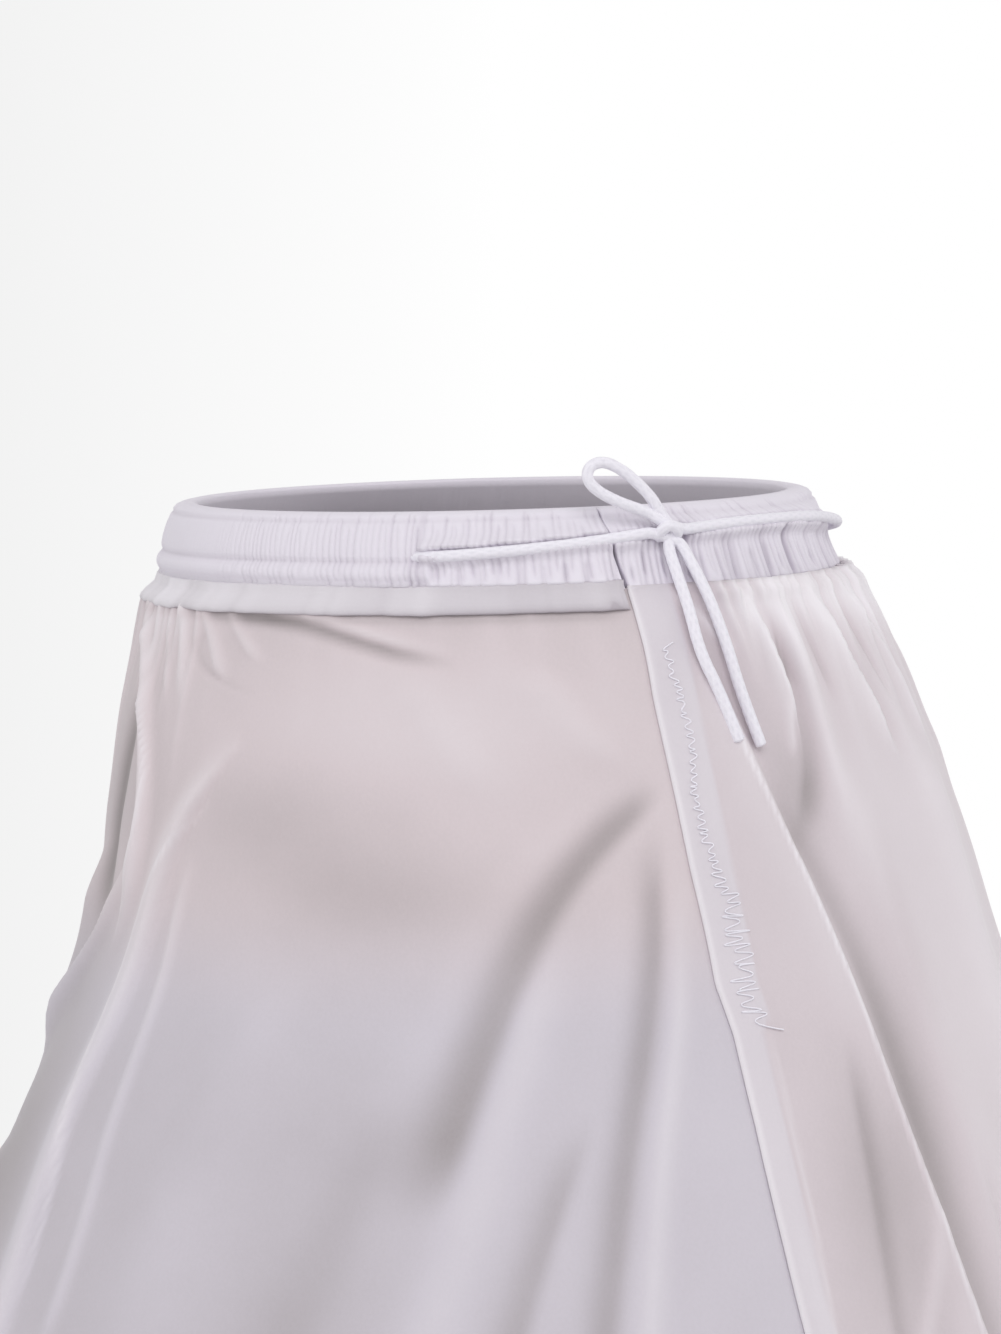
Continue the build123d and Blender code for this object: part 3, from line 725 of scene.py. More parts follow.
def hoop_field(depth):
    """The cloth draws in between hoops, and is lifted by the tape over each hoop."""
    lift = np.zeros_like(depth)
    for high, low in zip(HOOP_DEPTHS, HOOP_DEPTHS[1:]):
        share = np.clip((depth - high - CHANNEL_HALF) / (low - high - 2 * CHANNEL_HALF), 0, 1)
        lift -= TIER_SAG * np.sin(pi * share)
    for hoop in HOOP_DEPTHS:
        lift += TAPE_RISE * bell(depth, hoop, TAPE_HALF)
        for stitches in (hoop - STITCHES_FROM_HOOP, hoop + STITCHES_FROM_HOOP):
            lift -= STITCH_DRAW * bell(depth, stitches, STITCH_HALF)
    return lift


# %% [markdown]
# The two halves of the skirt meet at the side seams. The left seam carries the placket and leans
# forward at the waist, so both halves measure their width from one seam line. Rows lie close
# together where the folds are fine, and further apart towards the hem.

# %% Front and back of the skirt
# degrees and mm down the left seam
SEAM_LEFT = ((-8.6, 26.0), (-9.0, 60.0), (-8.4, 116.0), (-7.4, 152.0), (-5.6, 168.0), (-3.4, 198.0),
             (-1.2, 236.0), (0.2, 262.0), (1.5, 330.0), (2.0, 417.0), (2.0, 1000.0))
# where the cloth's rows start, and how high the front and the back reach under the band
SKIRT_TOP, FRONT_TOP, BACK_TOP = 25.6, 23.6, 24.8
RUFFLE_RISE, RUFFLE_DEPTH = 1.7, 28.0
CLOTH_SHOWN = 0.5
PLACKET_WIDTH, PLACKET_BOTTOM, PLACKET_RISE = 15.0, 168.0, 0.4
SEAM_STRIP_WIDTH, STRIP_FADE = 11.0, 2000.0
# the front goes on under the back's edge for so many degrees
UNDER_SEAM = 4.0
# the hollow of the waist, behind the left side: mm drawn in, degrees, half width in degrees
HOLLOW_DRAW, HOLLOW_AT, HOLLOW_WIDTH = 4.0, 70.0, 28.0
# mm that the top is tucked in: everywhere, also under the binding, also at the front, how far down
TUCK, TUCK_BINDING, TUCK_FRONT, TUCK_HEIGHT = 0.5, 1.2, 3.5, 9.0
# the front lies a little inside the back, and more where the back's edge covers it
FRONT_INSIDE, FRONT_STEP = 0.15, 0.5
# how strong the painted highlight on the gathers and the painted shadow under the band are, how far
# down that shadow goes, the paler tone of the seam's strip, and the painted highlight on its rim
GATHER_PAINTED_LIGHT, BAND_SHADOW_HEIGHT, STRIP_TONE, RIM_HIGHLIGHT = 0.24, 22.0, 0.3, 0.55
# painted shadow on the skirt under the binding: how dark, and at what depth
BINDING_SHADE, BINDING_SHADE_DEPTH = 0.3, 33.8
# the cloth is warmer over the hips, down to this depth, and over the left half of the back
WARM_DEPTH, WARM_FADE, BACK_WARMTH, STRIP_WARMTH = 143.0, 50.0, 0.75, -0.5
# most columns lie where the cloth is creased: from these angles to the left seam
FRONT_TURN, BACK_TURN, CREASED_COLUMNS = -120.0, 96.0, 0.74
# seed, first and last angle, pitch mm, rise mm, length mm
FRONT_GATHERS = ((11, -180, -84, 5.5, 1.7, 55.0), (12, -84, -12, 14.0, 0.4, 45.0))
BACK_GATHERS = ((21, 7, 178, 5.0, 3.0, 34.0), (22, 12, 178, 11.0, 2.6, 80.0))
FRONT_RIPPLES, BACK_RIPPLES, RIPPLE_RISE, TIER_HEIGHT = 7, 9, 2.5, 265.0
PLAIN_EDGE, PLAIN_FOOT = 16.0, 30.0
seam_angles, seam_depths = np.array(SEAM_LEFT).T


def row_depths():
    """Depths of the cloth's rows: close under the band, at every hoop and at the hem."""
    rows = [np.linspace(SKIRT_TOP, 62.0, 29), np.linspace(62.0, 170.0, 46)[1:],
            np.linspace(170.0, 330.0, 36)[1:], np.linspace(330.0, HOOP_DEPTHS[0] - 18.0, 9)[1:]]
    for hoop, after in zip(HOOP_DEPTHS, (*HOOP_DEPTHS[1:], None)):
        rows.append(hoop + np.array((-14.0, -12.0, -10.0, -8.0, -4.0, 0.0, 4.0, 8.0, 10.0, 12.0, 14.0)))
        if after:
            rows.append(np.linspace(hoop + 18.0, after - 18.0, 8))
    rows.append(np.array((984.0, 992.0, SKIRT_LENGTH)))
    return np.concatenate(rows)


ROWS = row_depths()
print(len(ROWS), "rows in each half")


def seam_distance(angle, depth, radius):
    """Distance in mm behind the left seam, along the cloth."""
    return np.radians(angle - np.interp(depth, seam_depths, seam_angles)) * radius


def forward(angle):
    """1 at the front of the body, fading to 0 at its sides."""
    return smooth_step((np.cos(np.radians(angle + 100.0)) - 0.1) / 0.8)


def hollow(angle):
    """How far the waist's hollow behind the left side draws the cloth in, in mm."""
    return HOLLOW_DRAW * bell(angle, HOLLOW_AT, HOLLOW_WIDTH)


def tuck(angle, depth):
    """How far the top of the skirt is drawn in under the band, in mm."""
    front_side = ramp(angle, -8.0, -12.0)
    full = TUCK + TUCK_BINDING * front_side + TUCK_FRONT * forward(angle) + hollow(angle)
    return full * (1 - smooth_step((depth - SKIRT_TOP) / TUCK_HEIGHT)) ** 2


def front_warmth(depth):
    """How warm the front's tone is: more so over the hips than below."""
    return smooth_step((WARM_DEPTH - depth) / WARM_FADE + 0.5)


def skirt_place(front):
    """Where each share (u, v) of one half of the skirt belongs."""

    def place(u, v):
        depth = np.interp((1 - v) * (len(ROWS) - 1), np.arange(len(ROWS)), ROWS)
        seam = np.interp(depth, seam_depths, seam_angles)
        if front:
            start, turn, end, share = -180.0, FRONT_TURN, seam + UNDER_SEAM, 1 - CREASED_COLUMNS
        else:
            start, turn, end, share = seam, BACK_TURN, 180.0, CREASED_COLUMNS
        angle = np.where(u < share, start + (turn - start) * u / share,
                         turn + (end - turn) * (u - share) / (1 - share))
        covered = smooth_step((seam - 0.5 - angle) / 2.0)
        raised = (SKIRT_TOP - FRONT_TOP) * covered if front else SKIRT_TOP - BACK_TOP
        depth = depth - raised * (1 - np.clip((depth - SKIRT_TOP) / 5.0, 0, 1))
        half_width, half_depth, _ = axes_at(depth)
        t = np.radians(angle)
        radius = np.hypot(half_width * np.sin(t), half_depth * np.cos(t))
        from_seam = seam_distance(angle, depth, radius)
        lift, tone = fold_field(FRONT_FOLDS if front else BACK_FOLDS, angle, depth, radius)
        gathers = sum(gather_field(*row, angle, depth, radius)
                      for row in (FRONT_GATHERS if front else BACK_GATHERS))
        count = FRONT_RIPPLES if front else BACK_RIPPLES
        ripple = RIPPLE_RISE * np.sin(2 * pi * count * (angle + 180.0) / 190.0)
        tier = ramp(depth, 417.0, 497.0) * np.abs(np.sin(pi * (depth - FIRST_HOOP_DEPTH) / TIER_HEIGHT))
        from_edge = np.minimum(np.abs(from_seam), np.radians(180.0 - np.abs(angle)) * radius)
        clear = smooth_step(from_edge / PLAIN_EDGE)
        foot = smooth_step((SKIRT_LENGTH - depth) / PLAIN_FOOT)
        lift = (lift + gathers + ripple * tier * foot) * clear + hoop_field(depth)
        # painted highlight on the gathers' crests, less a painted shadow under the band that fades down
        # the skirt
        tone = tone * clear + GATHER_PAINTED_LIGHT * (gathers - np.exp((BAND_HEIGHT - depth) / BAND_SHADOW_HEIGHT))
        if front:
            crease = crease_field(angle, depth)
            lift -= CREASE_DEPTH * crease
            lift -= FRONT_INSIDE + FRONT_STEP * smooth_step(from_seam / 0.8 + 0.5)
            # painted shadow under the binding's lower edge
            binding_shadow = bell(depth, BINDING_SHADE_DEPTH, 1.8) * ramp(angle, -112.0, -104.0)
            # painted light and shade on the front: the painted patches, and painted shade in the crease
            tone += painted_patches(FRONT_PAINTED_PATCHES, angle, depth) - CREASE_SHADE * crease
            tone -= BINDING_SHADE * binding_shadow * clear
            warmth = front_warmth(depth)
        else:
            upper = smooth_step((PLACKET_BOTTOM - depth) / 6.0)
            width = PLACKET_WIDTH * upper + SEAM_STRIP_WIDTH * (1 - upper)
            strip = smooth_step((width - from_seam) / 1.5) * np.exp(-depth / STRIP_FADE)
            rim_highlight = bell(from_seam, 0.6, 1.1)
            ruffle = bell(depth, RUFFLE_DEPTH, 2.8) * ramp(from_seam, 14.0, 22.0)
            lift += PLACKET_RISE * strip + RUFFLE_RISE * ruffle
            # the seam's strip is paler where the facing lies behind it, and a painted highlight runs
            # along the seam's edge
            tone += painted_patches(BACK_PAINTED_PATCHES, angle, depth) + STRIP_TONE * strip + RIM_HIGHLIGHT * rim_highlight
            round_back = ramp(angle, 70.0, 170.0)
            warmth = BACK_WARMTH + (front_warmth(depth) - BACK_WARMTH) * round_back + STRIP_WARMTH * strip
        lift -= tuck(angle, depth)
        measure = np.stack([t * radius * MM, -depth * MM], axis=1)
        return outline(angle, depth, lift) * MM, measure, tone, warmth

    return place


def thickened(piece, thickness):
    """Gives a sheet of cloth its thickness, on its inner side."""
    wall = piece.modifiers.new("thickness", "SOLIDIFY")
    wall.thickness, wall.offset, wall.use_even_offset = thickness * MM, -1.0, False


skirt_front = shaped_grid("skirt_front", 296, len(ROWS) - 1, skirt_place(True), SKIRT_CLOTH)
skirt_back = shaped_grid("skirt_back", 296, len(ROWS) - 1, skirt_place(False), SKIRT_CLOTH)
for half, node in ((skirt_front, "front_panel"), (skirt_back, "back_panel")):
    thickened(half, CLOTH_SHOWN)
    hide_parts(node)
print("skirt halves made")

# %% [markdown]
# The waistband is a flat tube of cloth. Its section goes up the inside, over a rolled top edge,
# down the outside and back under. The cloth is gathered on the elastic, so narrow creases part
# the outside into hundreds of ribs, drawn from a seeded random table. The band opens at the
# placket, where its two closed ends lie side by side along a slanted line.

# %% Section of the waistband
BAND_GAP_ANGLE, BAND_GAP_SLANT = -9.5, radians(12.0)
BAND_GAP_TOP, BAND_GAP_BOTTOM = 0.05, 0.5
BAND_END_ROUND = 1.0
BAND_RADIUS = 140.0
# depth and offset of the section's corners, from the inner lower edge up, over and down again
INNER_CORNERS = ((26.2, 1.0), (25.6, 0.2), (18.0, 0.1), (10.0, 0.1), (3.0, 0.2), (0.8, 0.8), (0.0, 2.6),
                 (-0.2, 5.0), (0.2, 7.0), (0.9, 8.4))
OUTER_CORNERS = ((2.0, 9.1), (4.5, 9.6), (8.0, 10.2), (12.0, 10.4), (16.0, 10.1), (20.0, 9.6),
                 (23.5, 9.4), (25.7, 9.2))
LOWER_CORNERS = ((26.1, 8.2), (26.2, 5.6), (26.2, 3.0), (26.2, 1.0))
OUTER_STEPS = 23
outer_depth, outer_out = np.array(OUTER_CORNERS).T
outer_rows = np.linspace(outer_depth[0], outer_depth[-1], OUTER_STEPS)
outer = np.stack([outer_rows, np.interp(outer_rows, outer_depth, outer_out)], axis=1)
section_depth, section_out = np.concatenate([INNER_CORNERS, outer, LOWER_CORNERS]).T
section_steps = len(section_depth) - 1
# the front of the band stands nearly upright: it leans out this far at its top and in at its
# foot, which is drawn up a little
LEAN_TOP, LEAN_FOOT, FOOT_RISE = 2.5, -3.5, 2.4
# the cloth puffs up above and below the two runs of the drawstring
runs = np.array((*FRONT_RUN, *reversed(BACK_RUN))) / MM
run_middles = (runs[1:] + runs[:-1]) / 2
run_depths = -run_middles[:, 2]
run_angles = np.degrees(np.arctan2(
    run_middles[:, 1] / (BAND_HALF_DEPTH + BAND_SPREAD_FRONT * run_depths / BAND_HEIGHT),
    run_middles[:, 0] / (BAND_HALF_WIDTH + BAND_SPREAD_SIDE * run_depths / BAND_HEIGHT)))
PUFF_RISE, PUFF_AWAY, PUFF_NEAR, PUFF_FAR = 4.3, 1.5, 0.9, 2.6
# round the front the cloth lies pressed in a roll between two grooves, and ends in a small flap
PRESSED_END, FLAP_END, FLAP_RISE = -39.0, -41.0, 0.8
GROOVE_DEPTH, ROLL_DEPTH, LOWER_GROOVE_DEPTH = 17.2, 20.8, 24.6
CREASE_DRAW, INNER_CREASE_DRAW, TOP_SEAM_DEPTH, TOP_SEAM_DRAW = 0.8, 0.15, 3.0, 0.6
# the tone of the band, and how much painted shade darkens its creases, its grooves, the edge of its flap
# and its top seam
BAND_TONE, BAND_CREASE_SHADE, GROOVE_SHADE, FLAP_EDGE_SHADOW, TOP_SEAM_SHADE = 0.34, 0.62, 0.35, 0.35, 0.25
# the band's ends close to a rounded edge, more so below the cord
ENDS_CLOSE, ENDS_CLOSE_LOW = 0.15, 0.5
# seed, first and last angle, pitch in degrees, strength, top and bottom in mm, sharpness
FINE_CREASES = (5, -184.0, 184.0, 1.15, 1.0, (1.0, 28.0), 0.24)
COARSE_CREASES = (6, -42.0, 184.0, 3.4, 0.9, (14.0, 29.0), 0.16)
DEEP_CREASES = (7, 3.0, 176.0, 7.5, 1.5, (6.0, 28.0), 0.10)


def foot_rise(angle):
    """How far the foot of the band is drawn up over the front, in mm."""
    return FOOT_RISE * smooth_step((BAND_GAP_ANGLE - angle) / 1.5) * ramp(angle, -170.0, -140.0)


def band_surface(angle, depth, out):
    """Points in mm at angles in degrees and depths, out mm outside the band's inner face."""
    share = depth / BAND_HEIGHT
    out = out + forward(angle) * (LEAN_TOP + (LEAN_FOOT - LEAN_TOP) * np.clip(share, 0, 1))
    out = out - hollow(angle) * smooth_step(share * 1.6)
    shown = depth - foot_rise(angle) * np.clip(share, 0, 1)
    return oval(BAND_HALF_WIDTH + BAND_SPREAD_SIDE * share, BAND_HALF_DEPTH + BAND_SPREAD_FRONT * share,
                0.0, angle, out, shown)


# %% Creases of the waistband
def crease_rows(seed, start, end, pitch, size, reach, sharpness, angle, depth):
    """Upright creases drawn at random between two angles, as a share of a full crease."""
    draw = np.random.default_rng(seed)
    creases = np.zeros_like(angle)
    order = np.argsort(angle, kind="stable")
    sorted_angle = angle[order]
    place = start
    while place < end:
        gap = pitch * draw.uniform(0.75, 1.25)
        strength, lean = size * draw.uniform(0.5, 1.15), draw.normal(0.0, 0.02)
        top, bottom = reach[0] + draw.uniform(-3.0, 4.0), reach[1] + draw.uniform(-5.0, 3.0)
        low, high = np.searchsorted(sorted_angle, (place - 2.5, place + 2.5))
        near = order[low:high]
        across = angle[near] - place - lean * (depth[near] - BAND_HEIGHT / 2)
        run = smooth_step((depth[near] - top) / 3.0) * smooth_step((bottom - depth[near]) / 3.0)
        creases[near] += strength * run * np.exp(-np.abs(across / (sharpness * gap)) ** 1.4)
        place += gap
    return creases


def band_creases(angle, depth):
    """All creases of the gathered cloth: fine ones above, coarser and slanted ones below."""
    fine, coarse, deep = (crease_rows(*table, angle, depth)
                          for table in (FINE_CREASES, COARSE_CREASES, DEEP_CREASES))
    plain = ramp(angle, -112.0, -106.0) * ramp(angle, -74.0, -86.0)
    front = ramp(angle, -60.0, -42.0)
    return fine * (1 - 0.85 * plain) * (0.55 + 0.45 * front) + coarse + deep


# %% Waistband
def band_place(u, v):
    """Where each share (u, v) of the band's tube belongs."""
    corner = v * section_steps
    depth = np.interp(corner, np.arange(section_steps + 1), section_depth)
    out = np.interp(corner, np.arange(section_steps + 1), section_out)
    gap = BAND_GAP_TOP + (BAND_GAP_BOTTOM - BAND_GAP_TOP) * ramp(depth, 8.0, 22.0)
    half_gap = np.degrees(gap / 2 / BAND_RADIUS)
    slant = np.degrees(np.tan(BAND_GAP_SLANT) * (depth - BAND_HEIGHT / 2) / BAND_RADIUS)
    angle = BAND_GAP_ANGLE + half_gap + (360.0 - 2 * half_gap) * u + slant
    angle = (angle + 180.0) % 360.0 - 180.0
    outside = ramp(out, 5.0, 8.0)
    creases = band_creases(angle, depth)
    pressed = ramp(angle, -180.0, -160.0) * ramp(angle, PRESSED_END, PRESSED_END - 1.0)
    groove = bell(depth, GROOVE_DEPTH, 1.1) + 0.9 * bell(depth, LOWER_GROOVE_DEPTH, 1.2)
    roll = (bell(depth, ROLL_DEPTH, 2.6) - 0.9 * groove) * pressed
    flap = FLAP_RISE * smooth_step((FLAP_END - angle) / 0.8) * ramp(angle, -60.0, -45.0)
    step = bell(angle, FLAP_END, 0.5)
    run_depth = np.interp(angle, run_angles, run_depths)
    beside = ramp(angle, -42.0, -40.0) * ramp(angle, 58.0, 40.0)
    from_run = np.abs(depth - run_depth) - PUFF_AWAY
    puff = PUFF_RISE * beside * bell(from_run, 0.0, np.where(from_run < 0, PUFF_NEAR, PUFF_FAR))
    puff *= 1 - 0.6 * bell(angle, -0.5, 3.5)
    top_seam = bell(depth, TOP_SEAM_DEPTH, 0.7)
    lift = roll + flap + puff - CREASE_DRAW * creases - TOP_SEAM_DRAW * top_seam
    from_end = np.minimum(u, 1 - u) * 2 * pi * BAND_RADIUS
    closing = np.sqrt(np.clip(1 - (1 - np.clip(from_end / BAND_END_ROUND, 0, 1)) ** 2, 0, 1))
    out = out + outside * lift - (1 - outside) * INNER_CREASE_DRAW * creases
    close_share = ENDS_CLOSE + ENDS_CLOSE_LOW * ramp(depth, 9.0, 17.0)
    out = 1.0 + (out - 1.0) * (1 - close_share * (1 - closing))
    measure = np.stack([np.radians(angle) * 0.13, -corner * 1.6 * MM], axis=1)
    # painted shade in the creases, in the grooves, at the flap's edge and along the top seam
    shade = BAND_TONE - BAND_CREASE_SHADE * creases - GROOVE_SHADE * groove * pressed
    shade += -FLAP_EDGE_SHADOW * step - TOP_SEAM_SHADE * top_seam
    return band_surface(angle, depth, out) * MM, measure, shade * outside


waistband = shaped_grid("waistband", 2400, section_steps, band_place, GATHERED_CLOTH, close=True)
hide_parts("waistband_casing")
print("waistband faces", len(waistband.data.polygons))

# %% [markdown]
# The casing holds a flat elastic and the hidden stretch of the drawstring. The elastic is a thin
# ring of rubber cores under woven thread, so cords run along it and it is finely ribbed.

# %% Elastic and hidden cord
ELASTIC_START, ELASTIC_THICKNESS, ELASTIC_WIDTH = 1.5, 1.4, 19.0
ELASTIC_CORES, CORE_RISE = 12, 0.12
CORD_IN_CASING, CORD_DEPTH = 5.25, 14.0
HIDDEN_START, HIDDEN_END, HIDDEN_TURNS = -50.0, -295.0, 16


def elastic_place(u, v):
    """Where each share (u, v) of the elastic's flat tube belongs."""
    angle = BAND_GAP_ANGLE + 0.1 + 359.8 * u
    turn = 2 * pi * v
    depth = BAND_HEIGHT / 2 - ELASTIC_WIDTH / 2 * np.cos(turn)
    core = CORE_RISE * np.cos(ELASTIC_CORES * turn)
    half = ELASTIC_THICKNESS / 2 * np.clip(3 * np.abs(np.sin(turn)), 0, 1) - CORE_RISE + core
    out = ELASTIC_START + ELASTIC_THICKNESS / 2 + np.where(turn < pi, half, -half)
    measure = np.stack([np.radians(angle) * 0.13, v * 0.04], axis=1)
    # painted light on the raised cores and painted shade between them
    return band_surface(angle, depth, out) * MM, measure, core * 2.0


elastic = shaped_grid("ribbed_elastic", 720, 72, elastic_place, TAPE_CLOTH, close=True)
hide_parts("waist_elastic")

hidden_step = (HIDDEN_END - HIDDEN_START) / HIDDEN_TURNS
hidden_angles = [HIDDEN_START] + [HIDDEN_START + hidden_step * (i + 0.5) for i in range(HIDDEN_TURNS)]
hidden_angles += [HIDDEN_END]
hidden_route = band_surface(np.array(hidden_angles), np.full(len(hidden_angles), CORD_DEPTH),
                            np.full(len(hidden_angles), CORD_IN_CASING)) * MM
outward = [1.0] + [1 / cos(radians(hidden_step / 2))] * HIDDEN_TURNS + [1.0]
hidden_route[:, :2] *= np.array(outward)[:, None]
hidden_cord, _, _ = braided_cord("cord_in_casing", [tuple(corner) for corner in hidden_route], around=12)
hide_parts("drawstring_in_casing")

# %% [markdown]
# A smooth rounded strip covers the front's top seam, just below the band. It is one flattened
# tube from the placket round the front to the other side seam, slightly drawn in by its stitches.

# %% Waist binding
BINDING_START, BINDING_END = -178.0, -9.2
BINDING_TOP, BINDING_HEIGHT, BINDING_RISE, BINDING_PULLS = 22.9, 9.6, 2.2, 70


def binding_place(u, v):
    """Where each share (u, v) of the binding's tube belongs."""
    angle = BINDING_START + (BINDING_END - BINDING_START) * u
    turn = 2 * pi * v
    draw = np.random.default_rng(8)
    pull = np.zeros_like(u)
    for _ in range(BINDING_PULLS):
        at, size, width = draw.uniform(0, 1), draw.uniform(-0.35, 0.35), draw.uniform(0.004, 0.02)
        crowded = 1.0 + 1.2 * (0.3 < at < 0.62)
        pull += size * crowded * bell(u, at, width)
    depth = BINDING_TOP + BINDING_HEIGHT * (0.5 - 0.5 * np.cos(turn)) + 0.5 * pull
    front_side = turn < pi
    close = smooth_step(np.minimum(u, 1 - u) / 0.006)
    rise = np.where(front_side, BINDING_RISE + pull * 0.8, 0.3) * np.abs(np.sin(turn)) ** 0.7
    measure = np.stack([np.radians(angle) * 0.145, v * 0.026], axis=1)
    points = outline(angle, depth, 0.4 + rise * (0.15 + 0.85 * close) - tuck(angle, depth))
    # painted shade on the binding: darker towards the placket and along its lower half, lighter at its
    # far end
    painted_shade = 0.2 + 0.45 * ramp(angle, -80.0, -20.0) + 0.35 * ramp(depth, 29.0, 33.0)
    painted_shade -= 0.25 * ramp(angle, -88.0, -98.0)
    tack = 0.8 * bell(angle, -11.5, 0.6) * ramp(depth, 28.0, 32.0)
    # painted light and shade on the pleats, and a painted highlight along the middle of the binding's
    # front
    pleat_light_and_shade = 0.35 * pull * front_side
    return points * MM, measure, 0.3 * np.where(front_side, np.sin(turn), 0.0) - painted_shade - tack + pleat_light_and_shade


binding = shaped_grid("waist_binding_strip", 620, 20, binding_place, BINDING_CLOTH, close=True)
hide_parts("waist_binding")

# %% [markdown]
# Inside the left seam lie the placket's facing and underlap, two strips of cloth whose raw edges
# are overlocked. The overlock is a real thread: a fine tube that zigzags along the strip's edge.

# %% Placket
STRIP_INSIDE, STRIP_THICKNESS = 2.8, 0.4


def beside_seam(depth, distance):
    """Angle in degrees at a distance in mm behind the left seam."""
    half_depth = axes_at(depth)[1]
    return np.interp(depth, seam_depths, seam_angles) + np.degrees(distance / half_depth)


def strip_place(from_mm, to_mm, layer):
    """Where an upright strip inside the left seam belongs, between two distances from it."""

    def place(u, v):
        depth = PLACKET_BOTTOM + (SKIRT_TOP - PLACKET_BOTTOM) * v
        angle = beside_seam(depth, from_mm + (to_mm - from_mm) * u)
        wave = 0.2 * np.sin(depth / 4.0) * np.where(u > 0.5, u, 1 - u)
        points = outline(angle, depth, -1.0 * layer - STRIP_INSIDE + wave * 0.5)
        measure = np.stack([u * (to_mm - from_mm) * MM, -depth * MM], axis=1)
        return points * MM, measure, np.zeros_like(u)

    return place


for name, node, from_mm, to_mm, layer in (
    ("placket_facing_strip", "placket_facing", -18.0, -0.2, 1),
    ("placket_underlap_strip", "placket_underlap", -12.0, 18.0, 2),
):
    strip = shaped_grid(name, 14, 90, strip_place(from_mm, to_mm, layer), FACING_CLOTH)
    thickened(strip, STRIP_THICKNESS)
    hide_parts(node)


# %% Overlock thread
THREAD = 0.0005
OVERLOCK_TOP, OVERLOCK_BOTTOM, OVERLOCK_STITCH = 44.0, 167.0, 1.3
OVERLOCK_FROM_SEAM, OVERLOCK_HALF, OVERLOCK_RISE, LOOSE_FROM = 8.0, 2.6, 0.35, 104.0


def overlock_route():
    """A zigzag down the placket: narrow above, wide and loose towards its lower end."""
    draw = np.random.default_rng(31)
    route, depth, side = [], OVERLOCK_TOP, 1.0
    while depth < OVERLOCK_BOTTOM:
        loose = ramp(depth, LOOSE_FROM, LOOSE_FROM + 40.0)
        middle = OVERLOCK_FROM_SEAM + 1.2 * sin(depth / 9.0) + 2.5 * loose
        reach = (OVERLOCK_HALF + 5.0 * loose) * draw.uniform(0.5, 1.25)
        angle = beside_seam(depth, middle + side * reach)
        drop = depth + draw.uniform(-0.8, 0.8) * (1 + loose)
        rise = PLACKET_RISE + OVERLOCK_RISE
        stitch = outline(np.array([angle]), np.array([drop]), np.array([rise]))[0]
        route.append(tuple(stitch * MM))
        depth += OVERLOCK_STITCH * draw.uniform(0.7, 1.3)
        side = -side
    return route


def thread_tube(name, route, around=6):
    """A fine thread along a route over the cloth."""
    line, length = smooth_line(name, route, spacing=0.0004)
    ahead = np.gradient(line, axis=0)
    ahead /= np.linalg.norm(ahead, axis=1)[:, None]
    outward = line * (1.0, 1.0, 0.0)
    side = np.cross(ahead, outward)
    side /= np.linalg.norm(side, axis=1)[:, None]
    third = np.cross(side, ahead)

    def place(u, v):
        ring = np.rint(v * (len(line) - 1)).astype(int)
        turn = -2 * pi * u
        where = (line[ring] + side[ring] * (THREAD / 2 * np.cos(turn))[:, None]
                 + third[ring] * (THREAD / 2 * np.sin(turn))[:, None])
        return where, np.stack([u * THREAD * pi, v * length], axis=1), np.full_like(u, 1.0)

    thread = shaped_grid(name, around, len(line) - 1, place, BRAID, close=True)
    print(name, round(length * 1000), "mm long")


thread_tube("overlock_thread", overlock_route())

# %% [markdown]
# Inside, each hoop is held by a tape, and the hem is turned up. These are rings, so a section is
# drawn once and spun about the upright axis.


# %% Rings inside the skirt
def spun_ring(name, corners, finish, steps=240):
    """A closed section, given as (radius, depth) in mm, spun into a ring."""
    ring = bmesh.new()
    section = [ring.verts.new((r * MM, 0.0, -depth * MM)) for r, depth in corners]
    edges = [ring.edges.new((a, b)) for a, b in zip(section, section[1:] + section[:1])]
    bmesh.ops.spin(ring, geom=section + edges, cent=(0, 0, 0), axis=(0, 0, 1), angle=2 * pi,
                   steps=steps, use_merge=True)
    bmesh.ops.remove_doubles(ring, verts=ring.verts, dist=1e-6)
    bmesh.ops.recalc_face_normals(ring, faces=ring.faces)
    around = ring.loops.layers.uv.new("cloth")
    for face in ring.faces:
        middle = face.calc_center_median()
        middle_angle = np.arctan2(middle.y, middle.x)
        for loop in face.loops:
            x, y, z = loop.vert.co
            turn = (np.arctan2(y, x) - middle_angle + pi) % (2 * pi) - pi + middle_angle
            loop[around].uv = (turn * corners[0][0] * MM, z)
        face.smooth = True
    mesh = bpy.data.meshes.new(name)
    ring.to_mesh(mesh)
    ring.free()
    mesh.attributes.new("tone", "FLOAT", "POINT")
    return riding(name, mesh, finish)


CLOTH_SOLID = 1.2
slope_length = float(np.hypot(1.0, slope))
# down the slope and in from the cloth, mm: the tape lies flat at its edges and over the bone
TAPE_SECTION = ((-11.0, 0.2), (-9.5, 0.25), (-4.9, 3.9), (4.9, 3.9), (9.5, 0.25), (11.0, 0.2),
                (11.0, 0.8), (9.6, 0.9), (5.3, 4.5), (-5.3, 4.5), (-9.6, 0.9), (-11.0, 0.8))


def along_slope(depth, radius, points):
    """Corners down the slope and in from the cloth, as (radius, depth)."""
    return [(radius - CLOTH_SOLID + (down * slope - inward) / slope_length,
             depth + (down + inward * slope) / slope_length) for down, inward in points]


for number, (depth, radius) in enumerate(zip(HOOP_DEPTHS, HOOP_RADII), start=1):
    tape = spun_ring(f"hoop_tape_{number}", along_slope(depth, radius, TAPE_SECTION), TAPE_CLOTH)
    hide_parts(f"hoop_casing_{number}")
    2 * pi * radius * MM

# %% [markdown]
# The bones are flat spring steel, brushed along their length, and each connector is a short sleeve
# of milky plastic. Their CAD shapes are right, so only their materials are new.

